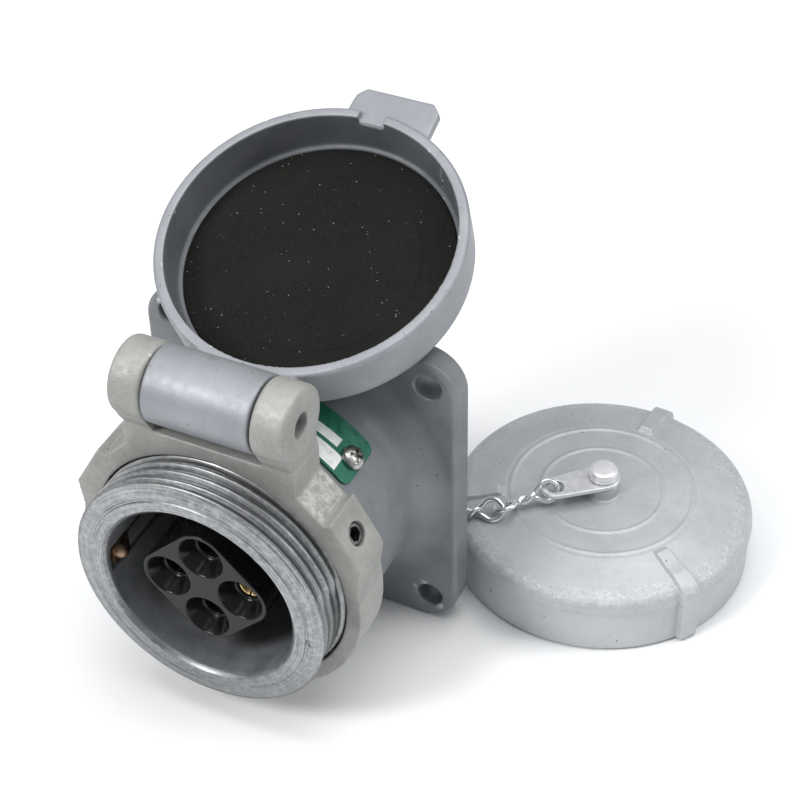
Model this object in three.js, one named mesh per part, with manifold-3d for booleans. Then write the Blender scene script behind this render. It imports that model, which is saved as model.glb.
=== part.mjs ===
// Flange-mounted power inlet with a hinged door and a chained screw cap.
// Millimetres, +Z up. The barrel's axis lies along Y and its mouth faces -Y.
import * as THREE from 'three';
import { mergeVertices } from 'three/addons/utils/BufferGeometryUtils.js';
import Module from 'manifold-3d';

const wasm = await Module();
wasm.setup();

// ---- Driving dimensions --------------------------------------------------
const GAP = 0.3; // clearance between neighbouring pieces
const ROUND = 48; // sides on the large turned shapes
const SMALL_ROUND = 16; // sides on screws, pins and contacts
const WELL_ROUND = 10; // sides on the insulators' wells and holes

const FLANGE = { half: 44.45, thick: 8, corner: 11, edge: 1.2, hole: 36.5, holeR: 3.55 };
const BARREL = { r: 34.8, front: -64.2, fillet: 9, mouthR: 26.1, chamberR: 29 };
const THREAD = { pitch: 2.95, depth: 1.5, turns: 4 };
const WEB = { back: -18, front: -22, boreR: 17 };
const BOSS = { front: -60.5, back: -28, baseR: 25.5, lobeR: 7.3, wellR: 6.2, boreR: 3.35, pitchR: 10.1 };
const REAR = { r: 17.6, front: -17.7, back: -9.5, screwR: 13.6 };
const CONTACT = { r: 3.05, socketR: 2, front: -55.5, back: -3, socketDeep: 24, wireR: 2, wireDeep: 7 };
const PLATE = { thick: 0.6, front: -35, back: -19.7, halfAngle: 50.4, screwAngle: 45 };

const COLLAR = { front: -52.6, back: -40, r: 39.3, boreR: 35.15 };
const PAD = { half: 7.5, reach: 41.5, angles: [30, 150] };
const FOOT = { half: 7.5, reach: FLANGE.half };
const HINGE = { y: -47.6, z: 51.3, r: 9.8, lugIn: 14.5, lugOut: 23.4, pinR: 3, pinHalf: 20 };
const DOOR = { r: 40, wallR: 37.3, rim: -53, deep: 11.4, back: 15.6, gasketR: 35.1, gasketThick: 2.2 };
const TAB = { left: -8.5, right: 15.5, reach: 8, thick: 2.6, lipHalf: 3.6, lipR: 36.3 };
const DOOR_OPEN = 248.5; // degrees from closed to leaning back on the flange

const CAP = { x: 68, y: 37.8, r: 41.9, high: 20.2, boreR: 35.6, deep: 14.2, gasketThick: 2.4 };
const RIB = { inner: 27, outer: 43.1, angles: [-35, 85, 205], halfIn: 2, halfOut: 2.7 };
const POST = { r: 4.8, high: 3.4, shankR: 2.1, headR: 4, headHigh: 2.8 };
const CLIP = { thick: 1.3, bigR: 4.8, smallR: 3.9, reach: 14, holeR: 2.4, angle: 222 };
const LINK = { wireR: 0.8, loopR: 2.9, span: 12.55, pitch: 16.2, sides: 6, steps: 12 };
const EYELET = { thick: 1.2, washerR: 5, tipR: 2.9, holeR: 1.8 };

// ---- Materials -----------------------------------------------------------
function finish(color, roughness, metalness) {
  return new THREE.MeshStandardMaterial({ color, roughness, metalness });
}
const paint = () => finish('#9ea2a4', 0.5, 0.6);
const rawCast = () => finish('#a3a297', 0.6, 0.5);
const zinc = () => finish('#c9ccd0', 0.25, 1);
const steel = () => finish('#8f8d88', 0.35, 1);
const brass = () => finish('#b8924a', 0.35, 1);
const bronze = () => finish('#8f5a38', 0.4, 1);
const blackResin = () => finish('#141414', 0.25, 0);
const rubber = () => finish('#22211e', 0.9, 0);
const greenPlate = () => finish('#1f6b4b', 0.35, 0.2);

// ---- Solid helpers -------------------------------------------------------
const rad = THREE.MathUtils.degToRad;

// A closed three.js geometry becomes a solid, with its faces turned outwards.
function solid(geometry) {
  const bare = geometry.clone();
  bare.deleteAttribute('normal');
  bare.deleteAttribute('uv');
  const merged = mergeVertices(bare, 1e-4);
  const index = merged.index.array;
  const triVerts = [];
  for (let i = 0; i < index.length; i += 3) {
    const [a, b, c] = [index[i], index[i + 1], index[i + 2]];
    if (a !== b && b !== c && c !== a) triVerts.push(a, b, c);
  }
  const vertProperties = new Float32Array(merged.attributes.position.array);
  const build = (tris) => new wasm.Manifold(new wasm.Mesh({
    numProp: 3,
    vertProperties,
    triVerts: Uint32Array.from(tris),
  }));
  const made = build(triVerts);
  if (made.volume() > 0) return made;
  const flipped = [];
  for (let i = 0; i < triVerts.length; i += 3) flipped.push(triVerts[i], triVerts[i + 2], triVerts[i + 1]);
  return build(flipped);
}

function toGeometry(manifold) {
  const mesh = manifold.getMesh();
  const geometry = new THREE.BufferGeometry();
  const places = new Float32Array(mesh.numVert * 3);
  for (let v = 0; v < mesh.numVert; v += 1) {
    for (let k = 0; k < 3; k += 1) places[v * 3 + k] = mesh.vertProperties[v * mesh.numProp + k];
  }
  geometry.setAttribute('position', new THREE.BufferAttribute(places, 3));
  geometry.setIndex(new THREE.BufferAttribute(Uint32Array.from(mesh.triVerts), 1));
  geometry.computeVertexNormals();
  return geometry;
}

// A turned shape about the Y axis from [radius, y] points; a ring profile closes on itself.
function turned(points, sides = ROUND) {
  const ring = points[0][0] > 0;
  const profile = ring ? [...points, points[0]] : points;
  return new THREE.LatheGeometry(profile.map(([r, y]) => new THREE.Vector2(r, y)), sides);
}

// A cylinder along Y between two heights.
function rodY(r, y0, y1, sides = SMALL_ROUND, x = 0, z = 0) {
  const rod = new THREE.CylinderGeometry(r, r, Math.abs(y1 - y0), sides);
  return rod.translate(x, (y0 + y1) / 2, z);
}

// A cylinder along X between two places.
function rodX(r, x0, x1, y, z, sides = 24) {
  const rod = new THREE.CylinderGeometry(r, r, Math.abs(x1 - x0), sides).rotateZ(Math.PI / 2);
  return rod.translate((x0 + x1) / 2, y, z);
}

function block(x0, x1, y0, y1, z0, z1) {
  const box = new THREE.BoxGeometry(x1 - x0, y1 - y0, z1 - z0);
  return box.translate((x0 + x1) / 2, (y0 + y1) / 2, (z0 + z1) / 2);
}

// A flat outline in X and Z, given thickness from y0 to y1.
function slabXZ(shape, y0, y1, curveSegments = 8) {
  const slab = new THREE.ExtrudeGeometry(shape, { depth: y1 - y0, bevelEnabled: false, curveSegments });
  return slab.rotateX(Math.PI / 2).translate(0, y1, 0);
}

function polygon(points) {
  return new THREE.Shape(points.map(([x, z]) => new THREE.Vector2(x, z)));
}

// The outline round two circles of different size, the second at (reach, 0).
function tapered(r0, r1, reach, steps = 10) {
  const lean = Math.asin((r0 - r1) / reach);
  const points = [];
  for (let i = 0; i <= steps; i += 1) {
    const a = Math.PI / 2 - lean + (i / steps) * (Math.PI + 2 * lean);
    points.push([r0 * Math.cos(a), r0 * Math.sin(a)]);
  }
  for (let i = 0; i <= steps; i += 1) {
    const a = -Math.PI / 2 + lean + (i / steps) * (Math.PI - 2 * lean);
    points.push([reach + r1 * Math.cos(a), r1 * Math.sin(a)]);
  }
  return points;
}

const assembly = new THREE.Group();

function add(name, shape, material, parent = assembly) {
  const geometry = shape.isBufferGeometry ? toGeometry(solid(shape)) : toGeometry(shape);
  const mesh = new THREE.Mesh(geometry, material);
  mesh.name = name;
  parent.add(mesh);
  return mesh;
}

// ---- Housing: flange, body, barrel and thread in one casting -------------
function flangePlate() {
  const { half, corner, edge, thick } = FLANGE;
  const inner = half - edge;
  const flat = corner - edge;
  const outline = new THREE.Shape();
  outline.moveTo(inner - flat, -inner);
  outline.absarc(inner - flat, -inner + flat, flat, -Math.PI / 2, 0);
  outline.absarc(inner - flat, inner - flat, flat, 0, Math.PI / 2);
  outline.absarc(-inner + flat, inner - flat, flat, Math.PI / 2, Math.PI);
  outline.absarc(-inner + flat, -inner + flat, flat, Math.PI, Math.PI * 1.5);
  const plate = new THREE.ExtrudeGeometry(outline, {
    depth: thick - 2 * edge,
    bevelThickness: edge,
    bevelSize: edge,
    bevelSegments: 1,
    curveSegments: 6,
  });
  return plate.rotateX(Math.PI / 2).translate(0, -edge, 0);
}

function barrelProfile() {
  const { r, front, fillet, mouthR, chamberR } = BARREL;
  const { pitch, depth, turns } = THREAD;
  const root = r - depth;
  const points = [[r + fillet, -FLANGE.thick + 1]];
  const filletSteps = 4;
  for (let i = 0; i <= filletSteps; i += 1) {
    const a = (i / filletSteps) * (Math.PI / 2);
    points.push([r + fillet - fillet * Math.sin(a), -FLANGE.thick - fillet + fillet * Math.cos(a)]);
  }
  points.push([r, COLLAR.front]);
  for (let i = 0; i < turns; i += 1) {
    const y = COLLAR.front - i * pitch;
    points.push([root, y - pitch * 0.35], [r, y - pitch * 0.85]);
  }
  points.push([r - 2.2, front], [mouthR + 1.2, front], [mouthR, front + 1.2]);
  points.push([mouthR, WEB.front], [WEB.boreR, WEB.front], [WEB.boreR, WEB.back]);
  points.push([chamberR, WEB.back], [chamberR, -1], [chamberR + 2, -1]);
  return points;
}

function buildHousing() {
  let body = solid(flangePlate()).add(solid(turned(barrelProfile())));
  body = body.subtract(solid(rodY(BARREL.chamberR, -12, 2, ROUND)));
  for (const x of [-FLANGE.hole, FLANGE.hole]) {
    for (const z of [-FLANGE.hole, FLANGE.hole]) {
      body = body.subtract(solid(rodY(FLANGE.holeR, -12, 2, SMALL_ROUND, x, z)));
    }
  }
  for (const a of [90 - PLATE.screwAngle, 90 + PLATE.screwAngle]) {
    body = body.subtract(solid(radialRod(1.8, 30.5, 40, plateMid(), a)));
  }
  body = body.subtract(solid(rodY(2.2, WEB.front + 1, WEB.back + 2, SMALL_ROUND, 0, -23)));
  add('housing', body, paint());
}

// A rod on a spoke of the barrel, from one radius to another, at an angle from +X.
function radialRod(r, from, to, y, angle, sides = SMALL_ROUND) {
  const rod = new THREE.CylinderGeometry(r, r, to - from, sides).rotateZ(-Math.PI / 2);
  return rod.translate((from + to) / 2, 0, 0).rotateY(-rad(angle)).translate(0, y, 0);
}

function plateMid() {
  return (PLATE.front + PLATE.back) / 2;
}

// ---- Insulators, contacts and terminals ----------------------------------
function contactPlaces() {
  return [0, 90, 180, 270].map((a) => [
    BOSS.pitchR * Math.cos(rad(a)),
    BOSS.pitchR * Math.sin(rad(a)),
  ]);
}

// Four round lobes joined by straight flanks.
function lobedOutline(r) {
  const steps = 4;
  const points = [];
  for (const quarter of [0, 90, 180, 270]) {
    for (let i = 0; i <= steps; i += 1) {
      const a = rad(quarter - 45 + (i / steps) * 90);
      const x = BOSS.pitchR * Math.cos(rad(quarter)) + r * Math.cos(a);
      const z = BOSS.pitchR * Math.sin(rad(quarter)) + r * Math.sin(a);
      points.push([x, z]);
    }
  }
  return polygon(points);
}

const MOUNT_ANGLES = [45, 225];

function screwPlaces() {
  return MOUNT_ANGLES.map((a) => [REAR.screwR * Math.cos(rad(a)), REAR.screwR * Math.sin(rad(a))]);
}

function buildInsulators() {
  const baseFront = BOSS.back + 1;
  let front = solid(slabXZ(lobedOutline(BOSS.lobeR), BOSS.front, baseFront));
  front = front.add(solid(rodY(BOSS.baseR, BOSS.back, WEB.front - GAP, 24)));
  let rear = solid(rodY(REAR.r, REAR.front, REAR.back, 32));
  for (const [x, z] of contactPlaces()) {
    const well = turned([[0, BOSS.front - 1], [BOSS.wellR + 0.6, BOSS.front - 1], [BOSS.boreR, BOSS.front + 5],
      [0, BOSS.front + 5]], WELL_ROUND).translate(x, 0, z);
    front = front.subtract(solid(well)).subtract(solid(rodY(BOSS.boreR, -70, -10, WELL_ROUND, x, z)));
    rear = rear.subtract(solid(rodY(BOSS.boreR, -30, 0, WELL_ROUND, x, z)));
  }
  for (const [x, z] of screwPlaces()) {
    front = front.subtract(solid(rodY(1.9, -27, -20, WELL_ROUND, x, z)));
    rear = rear.subtract(solid(rodY(1.9, -30, 0, WELL_ROUND, x, z)));
  }
  add('front_insulator', front, blackResin());
  add('rear_insulator', rear, blackResin());
  screwPlaces().forEach(([x, z], i) => {
    const shank = solid(rodY(1.6, -26, REAR.back + 1, SMALL_ROUND, x, z));
    const head = solid(rodY(2.6, REAR.back + GAP, REAR.back + 2.2, SMALL_ROUND, x, z));
    const slot = solid(block(x - 3, x + 3, REAR.back + 1.4, REAR.back + 3, z - 0.4, z + 0.4));
    add(`insulator_screw_${i + 1}`, shank.add(head).subtract(slot), steel());
  });
}

function buildContacts() {
  const { r, socketR, front, back, socketDeep, wireR, wireDeep } = CONTACT;
  const headR = r + 0.9;
  const profile = [[0, front + socketDeep], [socketR, front + socketDeep], [socketR, front + 1],
    [socketR + 0.6, front], [r, front], [r, REAR.back + GAP], [headR, REAR.back + GAP], [headR, back],
    [wireR, back], [wireR, back - wireDeep + 2], [0, back - wireDeep + 2]];
  const screwY = back - 2.8;
  contactPlaces().forEach(([x, z], i) => {
    const tapped = radialRod(1.4, BOSS.pitchR, BOSS.pitchR + 6, screwY, i * 90);
    const sleeve = solid(turned(profile, 12).translate(x, 0, z)).subtract(solid(tapped));
    add(`contact_${i + 1}`, sleeve, brass());
    const shank = solid(radialRod(1.1, BOSS.pitchR + 1, BOSS.pitchR + 5, screwY, i * 90));
    const head = solid(radialRod(2, BOSS.pitchR + 4.3, BOSS.pitchR + 6, screwY, i * 90));
    add(`terminal_screw_${i + 1}`, shank.add(head), steel());
  });
}

function buildGrounding() {
  const wall = BARREL.mouthR - 0.4;
  const strip = block(-wall, -wall + 0.8, -61, -32, -2.5, 2.5);
  const bump = new THREE.SphereGeometry(2, 16, 10).translate(-wall + 0.9, -57.5, 0);
  const keep = solid(block(-wall, 0, -70, 0, -4, 4));
  const hole = solid(radialRod(1.7, 20, 30, -36, 180));
  add('ground_contact', solid(strip).add(solid(bump).intersect(keep)).subtract(hole), bronze());
  const shank = solid(radialRod(1.4, wall - 1.6, wall - 0.1, -36, 180));
  const head = solid(radialRod(2.4, wall - 2.3, wall - 1.1, -36, 180));
  add('ground_contact_rivet', shank.add(head), brass());
  const bolt = solid(rodY(1.9, WEB.front + 1.6, WEB.back + 1, SMALL_ROUND, 0, -23));
  const hex = solid(rodY(3.6, WEB.back + GAP, WEB.back + 3.2, 6, 0, -23));
  add('ground_screw', bolt.add(hex), finish('#3f7d4a', 0.4, 0.6));
}

// ---- Curved nameplate and its screws -------------------------------------
function buildNameplate() {
  const inner = BARREL.r + GAP;
  const outer = inner + PLATE.thick;
  const steps = 14;
  const points = [];
  for (const [r, from, to] of [[outer, -1, 1], [inner, 1, -1]]) {
    for (let i = 0; i <= steps; i += 1) {
      const a = rad(90 + PLATE.halfAngle * (from + ((to - from) * i) / steps));
      points.push([r * Math.cos(a), r * Math.sin(a)]);
    }
  }
  let plate = solid(slabXZ(polygon(points), PLATE.front, PLATE.back));
  [90 - PLATE.screwAngle, 90 + PLATE.screwAngle].forEach((a, i) => {
    plate = plate.subtract(solid(radialRod(1.8, 30, 40, plateMid(), a)));
    const shank = solid(radialRod(1.4, 31, outer + 1, plateMid(), a));
    const head = solid(radialRod(3.3, outer + GAP, outer + 2.3, plateMid(), a));
    const cross = solid(block(-0.5, 0.5, -1.8, 1.8, -3, 0)).add(solid(block(-1.8, 1.8, -0.5, 0.5, -3, 0)));
    const recess = cross.translate([0, 0, outer + 3.6]).rotate([0, 90 - a, 0]).translate([0, plateMid(), 0]);
    add(`nameplate_screw_${i + 1}`, shank.add(head).subtract(recess), steel());
  });
  add('nameplate', plate, greenPlate());
}

// ---- Clamp collar that carries the door's hinge --------------------------
// Half of the collar's outline in X and Z, from the lug down to the foot.
function collarHalf() {
  const a = rad(PAD.angles[0]);
  const mid = [PAD.reach * Math.cos(a), PAD.reach * Math.sin(a)];
  const along = [-Math.sin(a) * PAD.half, Math.cos(a) * PAD.half];
  const padTop = [mid[0] + along[0], mid[1] + along[1]];
  const padEnd = [mid[0] - along[0], mid[1] - along[1]];
  const shoulder = [HINGE.lugOut, padTop[1] + padTop[0] - HINGE.lugOut];
  const points = [shoulder, padTop, padEnd];
  const start = 10;
  const end = -74;
  const steps = 9;
  for (let i = 0; i <= steps; i += 1) {
    const t = rad(start + ((end - start) * i) / steps);
    points.push([COLLAR.r * Math.cos(t), COLLAR.r * Math.sin(t)]);
  }
  points.push([FOOT.half, -FOOT.reach + 1], [FOOT.half - 1, -FOOT.reach]);
  return points;
}

function buildCollar() {
  const half = collarHalf();
  const mirrored = half.map(([x, z]) => [-x, z]).reverse();
  const top = HINGE.z - HINGE.r - 2;
  const outline = polygon([[HINGE.lugOut, top], ...half, ...mirrored, [-HINGE.lugOut, top]]);
  let collar = solid(slabXZ(outline, COLLAR.front, COLLAR.back));
  for (const side of [-1, 1]) {
    const [x0, x1] = [side * HINGE.lugIn, side * HINGE.lugOut].sort((p, q) => p - q);
    collar = collar.add(solid(rodX(HINGE.r, x0, x1, HINGE.y, HINGE.z)));
    collar = collar.add(solid(block(x0, x1, COLLAR.front, COLLAR.back, top - 2, HINGE.z - 3)));
    collar = collar.subtract(solid(rodX(HINGE.pinR + GAP, x0 - 1, x1 + 1, HINGE.y, HINGE.z, SMALL_ROUND)));
  }
  collar = collar.subtract(solid(rodY(COLLAR.boreR, -60, -30, ROUND)));
  const screwY = (COLLAR.front + COLLAR.back) / 2;
  const spots = [...PAD.angles, 270];
  for (const a of spots) collar = collar.subtract(solid(radialRod(3.2, 30, 50, screwY, a)));
  add('hinge_collar', collar, rawCast());
  spots.forEach((a, i) => {
    const reach = (a === 270 ? FOOT.reach : PAD.reach) - 0.8;
    const body = solid(radialRod(2.9, BARREL.r + GAP, reach, screwY, a));
    const socket = solid(radialRod(1.6, reach - 3, reach + 1, screwY, a, 6));
    add(`set_screw_${i + 1}`, body.subtract(socket), steel());
  });
}

// ---- Door, gasket, hinge pin and spring ----------------------------------
// The door group's origin is the hinge axis, and its geometry is drawn closed.
function buildDoor() {
  const door = new THREE.Group();
  door.position.set(0, HINGE.y, HINGE.z);
  door.rotation.x = -rad(DOOR_OPEN);
  assembly.add(door);
  const rim = DOOR.rim - HINGE.y;
  const floor = rim - DOOR.deep;
  const pocket = floor - DOOR.gasketThick - GAP;
  const back = rim - DOOR.back;
  const round = 2.6;
  const profile = [[0, pocket], [DOOR.gasketR + GAP, pocket], [DOOR.gasketR + GAP, floor],
    [DOOR.wallR - 0.7, floor], [DOOR.wallR, rim + 0.5], [DOOR.wallR + 0.5, rim], [DOOR.r - 0.6, rim],
    [DOOR.r, rim - 0.6], [DOOR.r - 0.5, back + round], [DOOR.r - 0.5 - round * 0.3, back + round * 0.3],
    [DOOR.r - 0.5 - round, back], [0, back]];
  let shell = solid(turned(profile).translate(0, 0, -HINGE.z));
  const half = HINGE.lugIn - GAP;
  const hugging = polygon([[0, HINGE.r], [-HINGE.r * 0.94, HINGE.r * 0.34], [back, -HINGE.z + DOOR.r - 5],
    [back, -HINGE.z + DOOR.r - 9], [rim - 0.5, -HINGE.z + DOOR.r - 2], [rim - 0.5, -HINGE.r * 0.84]]);
  shell = shell.add(solid(armAlongX(hugging, half)));
  shell = shell.add(solid(rodX(HINGE.r, -half, half, 0, 0)));
  shell = shell.subtract(solid(turned([[0, pocket], [DOOR.gasketR + GAP, pocket], [DOOR.gasketR + GAP, floor],
    [DOOR.wallR - 0.7, floor], [DOOR.wallR, rim + 0.5], [0, rim + 0.5]]).translate(0, 0, -HINGE.z)));
  shell = shell.subtract(solid(rodX(HINGE.pinR + GAP, -half - 1, half + 1, 0, 0, SMALL_ROUND)));
  shell = shell.subtract(solid(rodX(7, -half + 3, half - 3, 0, 0)));
  const { left, right, reach, thick, lipHalf, lipR } = TAB;
  const low = -HINGE.z - DOOR.r;
  shell = shell.subtract(solid(block(-lipHalf, lipHalf, rim - thick, rim + 1, low, low + 4)));
  shell = shell.add(solid(block(left, right, rim - thick, rim - 0.5, low - reach, low + 2)));
  shell = shell.add(solid(block(-lipHalf, lipHalf, rim - thick, rim - 0.5, low, -HINGE.z - lipR)));
  add('door', shell, paint(), door);
  const gasket = rodY(DOOR.gasketR, floor - DOOR.gasketThick, floor, ROUND, 0, -HINGE.z);
  add('door_gasket', gasket, rubber(), door);
}

// A flat outline in Y and Z, given thickness from -half to half along X.
function armAlongX(shape, half) {
  const slab = new THREE.ExtrudeGeometry(shape, { depth: 2 * half, bevelEnabled: false });
  const turn = new THREE.Matrix4().set(0, 0, 1, -half, 1, 0, 0, 0, 0, 1, 0, 0, 0, 0, 0, 1);
  return slab.applyMatrix4(turn);
}

class Helix extends THREE.Curve {
  constructor(radius, pitch, turns) {
    super();
    Object.assign(this, { radius, pitch, turns });
  }

  getPoint(t, target = new THREE.Vector3()) {
    const a = t * this.turns * Math.PI * 2;
    return target.set((t - 0.5) * this.turns * this.pitch, this.radius * Math.cos(a), this.radius * Math.sin(a));
  }
}

function ngon(r, sides) {
  const points = [];
  for (let i = 0; i < sides; i += 1) {
    const a = (i / sides) * Math.PI * 2;
    points.push([r * Math.cos(a), r * Math.sin(a)]);
  }
  return polygon(points);
}

function buildHingePin() {
  add('hinge_pin', rodX(HINGE.pinR, -HINGE.pinHalf, HINGE.pinHalf, HINGE.y, HINGE.z, SMALL_ROUND), steel());
  const coil = new THREE.ExtrudeGeometry(ngon(0.6, 4), {
    steps: 70,
    extrudePath: new Helix(5.1, 2.2, 7),
  });
  add('torsion_spring', coil.translate(0, HINGE.y, HINGE.z), steel());
}

// ---- Screw cap -----------------------------------------------------------
// Shapes here are turned about Y, then stood up on the floor.
const FLOOR = -FLANGE.half;

function upright(geometry) {
  return geometry.rotateX(Math.PI / 2).translate(CAP.x, CAP.y, FLOOR);
}

function ribOutline() {
  return polygon([[RIB.inner, -RIB.halfIn], [RIB.outer, -RIB.halfOut], [RIB.outer, RIB.halfOut],
    [RIB.inner, RIB.halfIn]]);
}

function buildCap() {
  const { r, high, boreR, deep } = CAP;
  const profile = [[0, deep], [boreR, deep], [boreR, 1], [boreR + 1, 0], [r - 1, 0], [r - 0.5, 0.6],
    [r, 13.6], [r - 0.4, 14.6], [r - 1.2, 15.7], [r - 3, 16.4], [RIB.inner, high], [0, high]];
  let cap = solid(upright(turned(profile)));
  const top = high + POST.high;
  cap = cap.add(solid(upright(rodY(POST.r, high - 1, top, 24))));
  const capRim = turned([[0, 0.4], [r + 0.8, 0.4], [r + 1.2, 15], [r - 2.4, 17.2], [RIB.inner - 1, high + 0.7],
    [0, high + 0.7]], ROUND);
  const hollow = upright(rodY(r - 2, -1, 14, ROUND));
  for (const a of RIB.angles) {
    const bar = new THREE.ExtrudeGeometry(ribOutline(), { depth: 24, bevelEnabled: false });
    bar.rotateZ(rad(a)).translate(CAP.x, CAP.y, FLOOR);
    cap = cap.add(solid(bar).intersect(solid(upright(capRim.clone()))).subtract(solid(hollow)));
  }
  cap = cap.subtract(solid(upright(rodY(POST.shankR + GAP, top - 5, top + 1))));
  add('cap', cap, paint());
  const seal = upright(rodY(boreR - 0.8, deep - GAP - CAP.gasketThick, deep - GAP, ROUND));
  add('cap_gasket', seal, rubber());
  const clipTop = top + GAP + CLIP.thick;
  const shank = solid(upright(rodY(POST.shankR, top - 4.6, clipTop + 1)));
  const head = solid(upright(rodY(POST.headR, clipTop + GAP, clipTop + GAP + POST.headHigh, 20)));
  add('cap_rivet', shank.add(head), zinc());
  let strap = solid(new THREE.ExtrudeGeometry(polygon(tapered(CLIP.bigR, CLIP.smallR, CLIP.reach)), {
    depth: CLIP.thick,
    bevelEnabled: false,
  }));
  strap = strap.subtract(solid(standing(POST.shankR + GAP, 0)));
  strap = strap.subtract(solid(standing(CLIP.holeR, CLIP.reach)));
  strap = strap.rotate([0, 0, CLIP.angle]).translate([CAP.x, CAP.y, FLOOR + top + GAP]);
  add('chain_clip', strap, zinc());
}

function standing(r, x) {
  return new THREE.CylinderGeometry(r, r, 12, SMALL_ROUND).rotateX(Math.PI / 2).translate(x, 0, 0);
}

// ---- Chain ---------------------------------------------------------------
// Pivot places from the clip, over the cap's shoulder, down behind the flange and along the
// floor to the eyelet. Each leg runs in its given direction for one link's pitch.
const CHAIN_START = new THREE.Vector3(
  CAP.x + (CLIP.reach + 0.4) * Math.cos(rad(CLIP.angle)),
  CAP.y + (CLIP.reach + 0.4) * Math.sin(rad(CLIP.angle)),
  FLOOR + CAP.high + POST.high + GAP + CLIP.thick / 2,
);
const CHAIN_LEGS = [
  { heading: 225, drop: 8, roll: 60 },
  { heading: 199, drop: 15.5, roll: 45 },
  { heading: 202, drop: 53, roll: 45 },
  { heading: 184.5, drop: 5.8, roll: 45 },
  { heading: 183.5, drop: 0, roll: 45 },
  { heading: 181, drop: 0, roll: 60 },
];

function chainPivots() {
  const places = [CHAIN_START.clone()];
  for (const { heading, drop } of CHAIN_LEGS) {
    const step = new THREE.Vector3(Math.cos(rad(heading)) * Math.cos(rad(drop)),
      Math.sin(rad(heading)) * Math.cos(rad(drop)), -Math.sin(rad(drop)));
    places.push(places.at(-1).clone().addScaledVector(step, LINK.pitch));
  }
  return places;
}

// One figure-of-eight link along X, centred, its first loop upright and its second flat.
function linkShape() {
  const { wireR, loopR, span, sides, steps } = LINK;
  const loop = () => new THREE.TorusGeometry(loopR, wireR, sides, steps);
  const first = solid(loop().rotateX(Math.PI / 2).translate(-span / 2, 0, 0));
  const second = solid(loop().translate(span / 2, 0, 0));
  const waistHalf = span / 2 - loopR + 0.3;
  const waist = solid(rodX(wireR * 1.25, -waistHalf, waistHalf, 0, 0, 8));
  return first.add(second).add(waist);
}

function buildChain() {
  const pivots = chainPivots();
  const shape = toGeometry(linkShape());
  CHAIN_LEGS.forEach(({ heading, drop, roll }, i) => {
    const link = new THREE.Mesh(shape, zinc());
    link.name = `chain_link_${i + 1}`;
    link.position.copy(pivots[i]).add(pivots[i + 1]).multiplyScalar(0.5);
    link.rotation.order = 'ZYX';
    link.rotation.set(rad(90 - roll), rad(drop), rad(heading));
    assembly.add(link);
  });
}

// The eyelet is cranked: a washer against the flange, then a tab that stands clear of it.
function buildEyelet() {
  const [previous, last] = chainPivots().slice(-2);
  const hookReach = LINK.span / 2 + LINK.loopR - LINK.pitch / 2;
  const end = last.clone().addScaledVector(last.clone().sub(previous).normalize(), hookReach);
  const bolt = new THREE.Vector3(-FLANGE.hole, 0, -FLANGE.hole);
  const reach = Math.hypot(end.x - bolt.x, end.z - bolt.z);
  const { thick, washerR, tipR, holeR } = EYELET;
  const offset = end.y;
  const crank = polygon([[-washerR, GAP], [reach - 5.4, GAP], [reach - 3.2, offset - thick / 2],
    [reach + tipR, offset - thick / 2], [reach + tipR, offset + thick / 2], [reach - 3.9, offset + thick / 2],
    [reach - 6.1, GAP + thick], [-washerR, GAP + thick]]);
  const sheet = new THREE.ExtrudeGeometry(crank, { depth: 12, bevelEnabled: false }).translate(0, 0, -6);
  const outline = slabXZ(polygon(tapered(washerR, tipR, reach)), -1, offset + 2);
  let tab = solid(sheet).intersect(solid(outline));
  tab = tab.subtract(solid(rodY(2.3, -2, 8, SMALL_ROUND))).subtract(solid(rodY(holeR, -2, 8, SMALL_ROUND, reach, 0)));
  const turn = THREE.MathUtils.radToDeg(Math.atan2(end.z - bolt.z, end.x - bolt.x));
  tab = tab.rotate([0, -turn, 0]).translate([bolt.x, 0, bolt.z]);
  add('chain_eyelet', tab, zinc());
  const headY = -FLANGE.thick - GAP;
  const shank = solid(rodY(2, headY - 1, 5.8, SMALL_ROUND, bolt.x, bolt.z));
  const head = solid(rodY(4.6, headY - 2.6, headY, SMALL_ROUND, bolt.x, bolt.z));
  const slot = solid(block(bolt.x - 6, bolt.x + 6, headY - 3, headY - 1.4, bolt.z - 0.6, bolt.z + 0.6));
  add('eyelet_screw', shank.add(head).subtract(slot), steel());
  const nut = solid(rodY(3.7, GAP * 2 + thick, GAP * 2 + thick + 3, 6, bolt.x, bolt.z));
  add('eyelet_nut', nut.subtract(solid(rodY(2.3, 0, 8, SMALL_ROUND, bolt.x, bolt.z))), steel());
}

buildHousing();
buildInsulators();
buildContacts();
buildGrounding();
buildNameplate();
buildCollar();
buildDoor();
buildHingePin();
buildCap();
buildChain();
buildEyelet();

// The origin is the middle of the whole object's footprint.
const box = new THREE.Box3().setFromObject(assembly, true);
assembly.position.set(-(box.min.x + box.max.x) / 2, -(box.min.y + box.max.y) / 2, -box.min.z);
const inlet = new THREE.Group();
inlet.add(assembly);

export default inlet;
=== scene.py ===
"""Looks of a flange-mounted power inlet with a hinged door and a chained screw cap."""
from math import asin, atan2, ceil, cos, degrees, hypot, pi, radians, sin, sqrt
from types import SimpleNamespace as Sizes

import bmesh
import bpy
from mathutils import Matrix, Vector, noise


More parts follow.
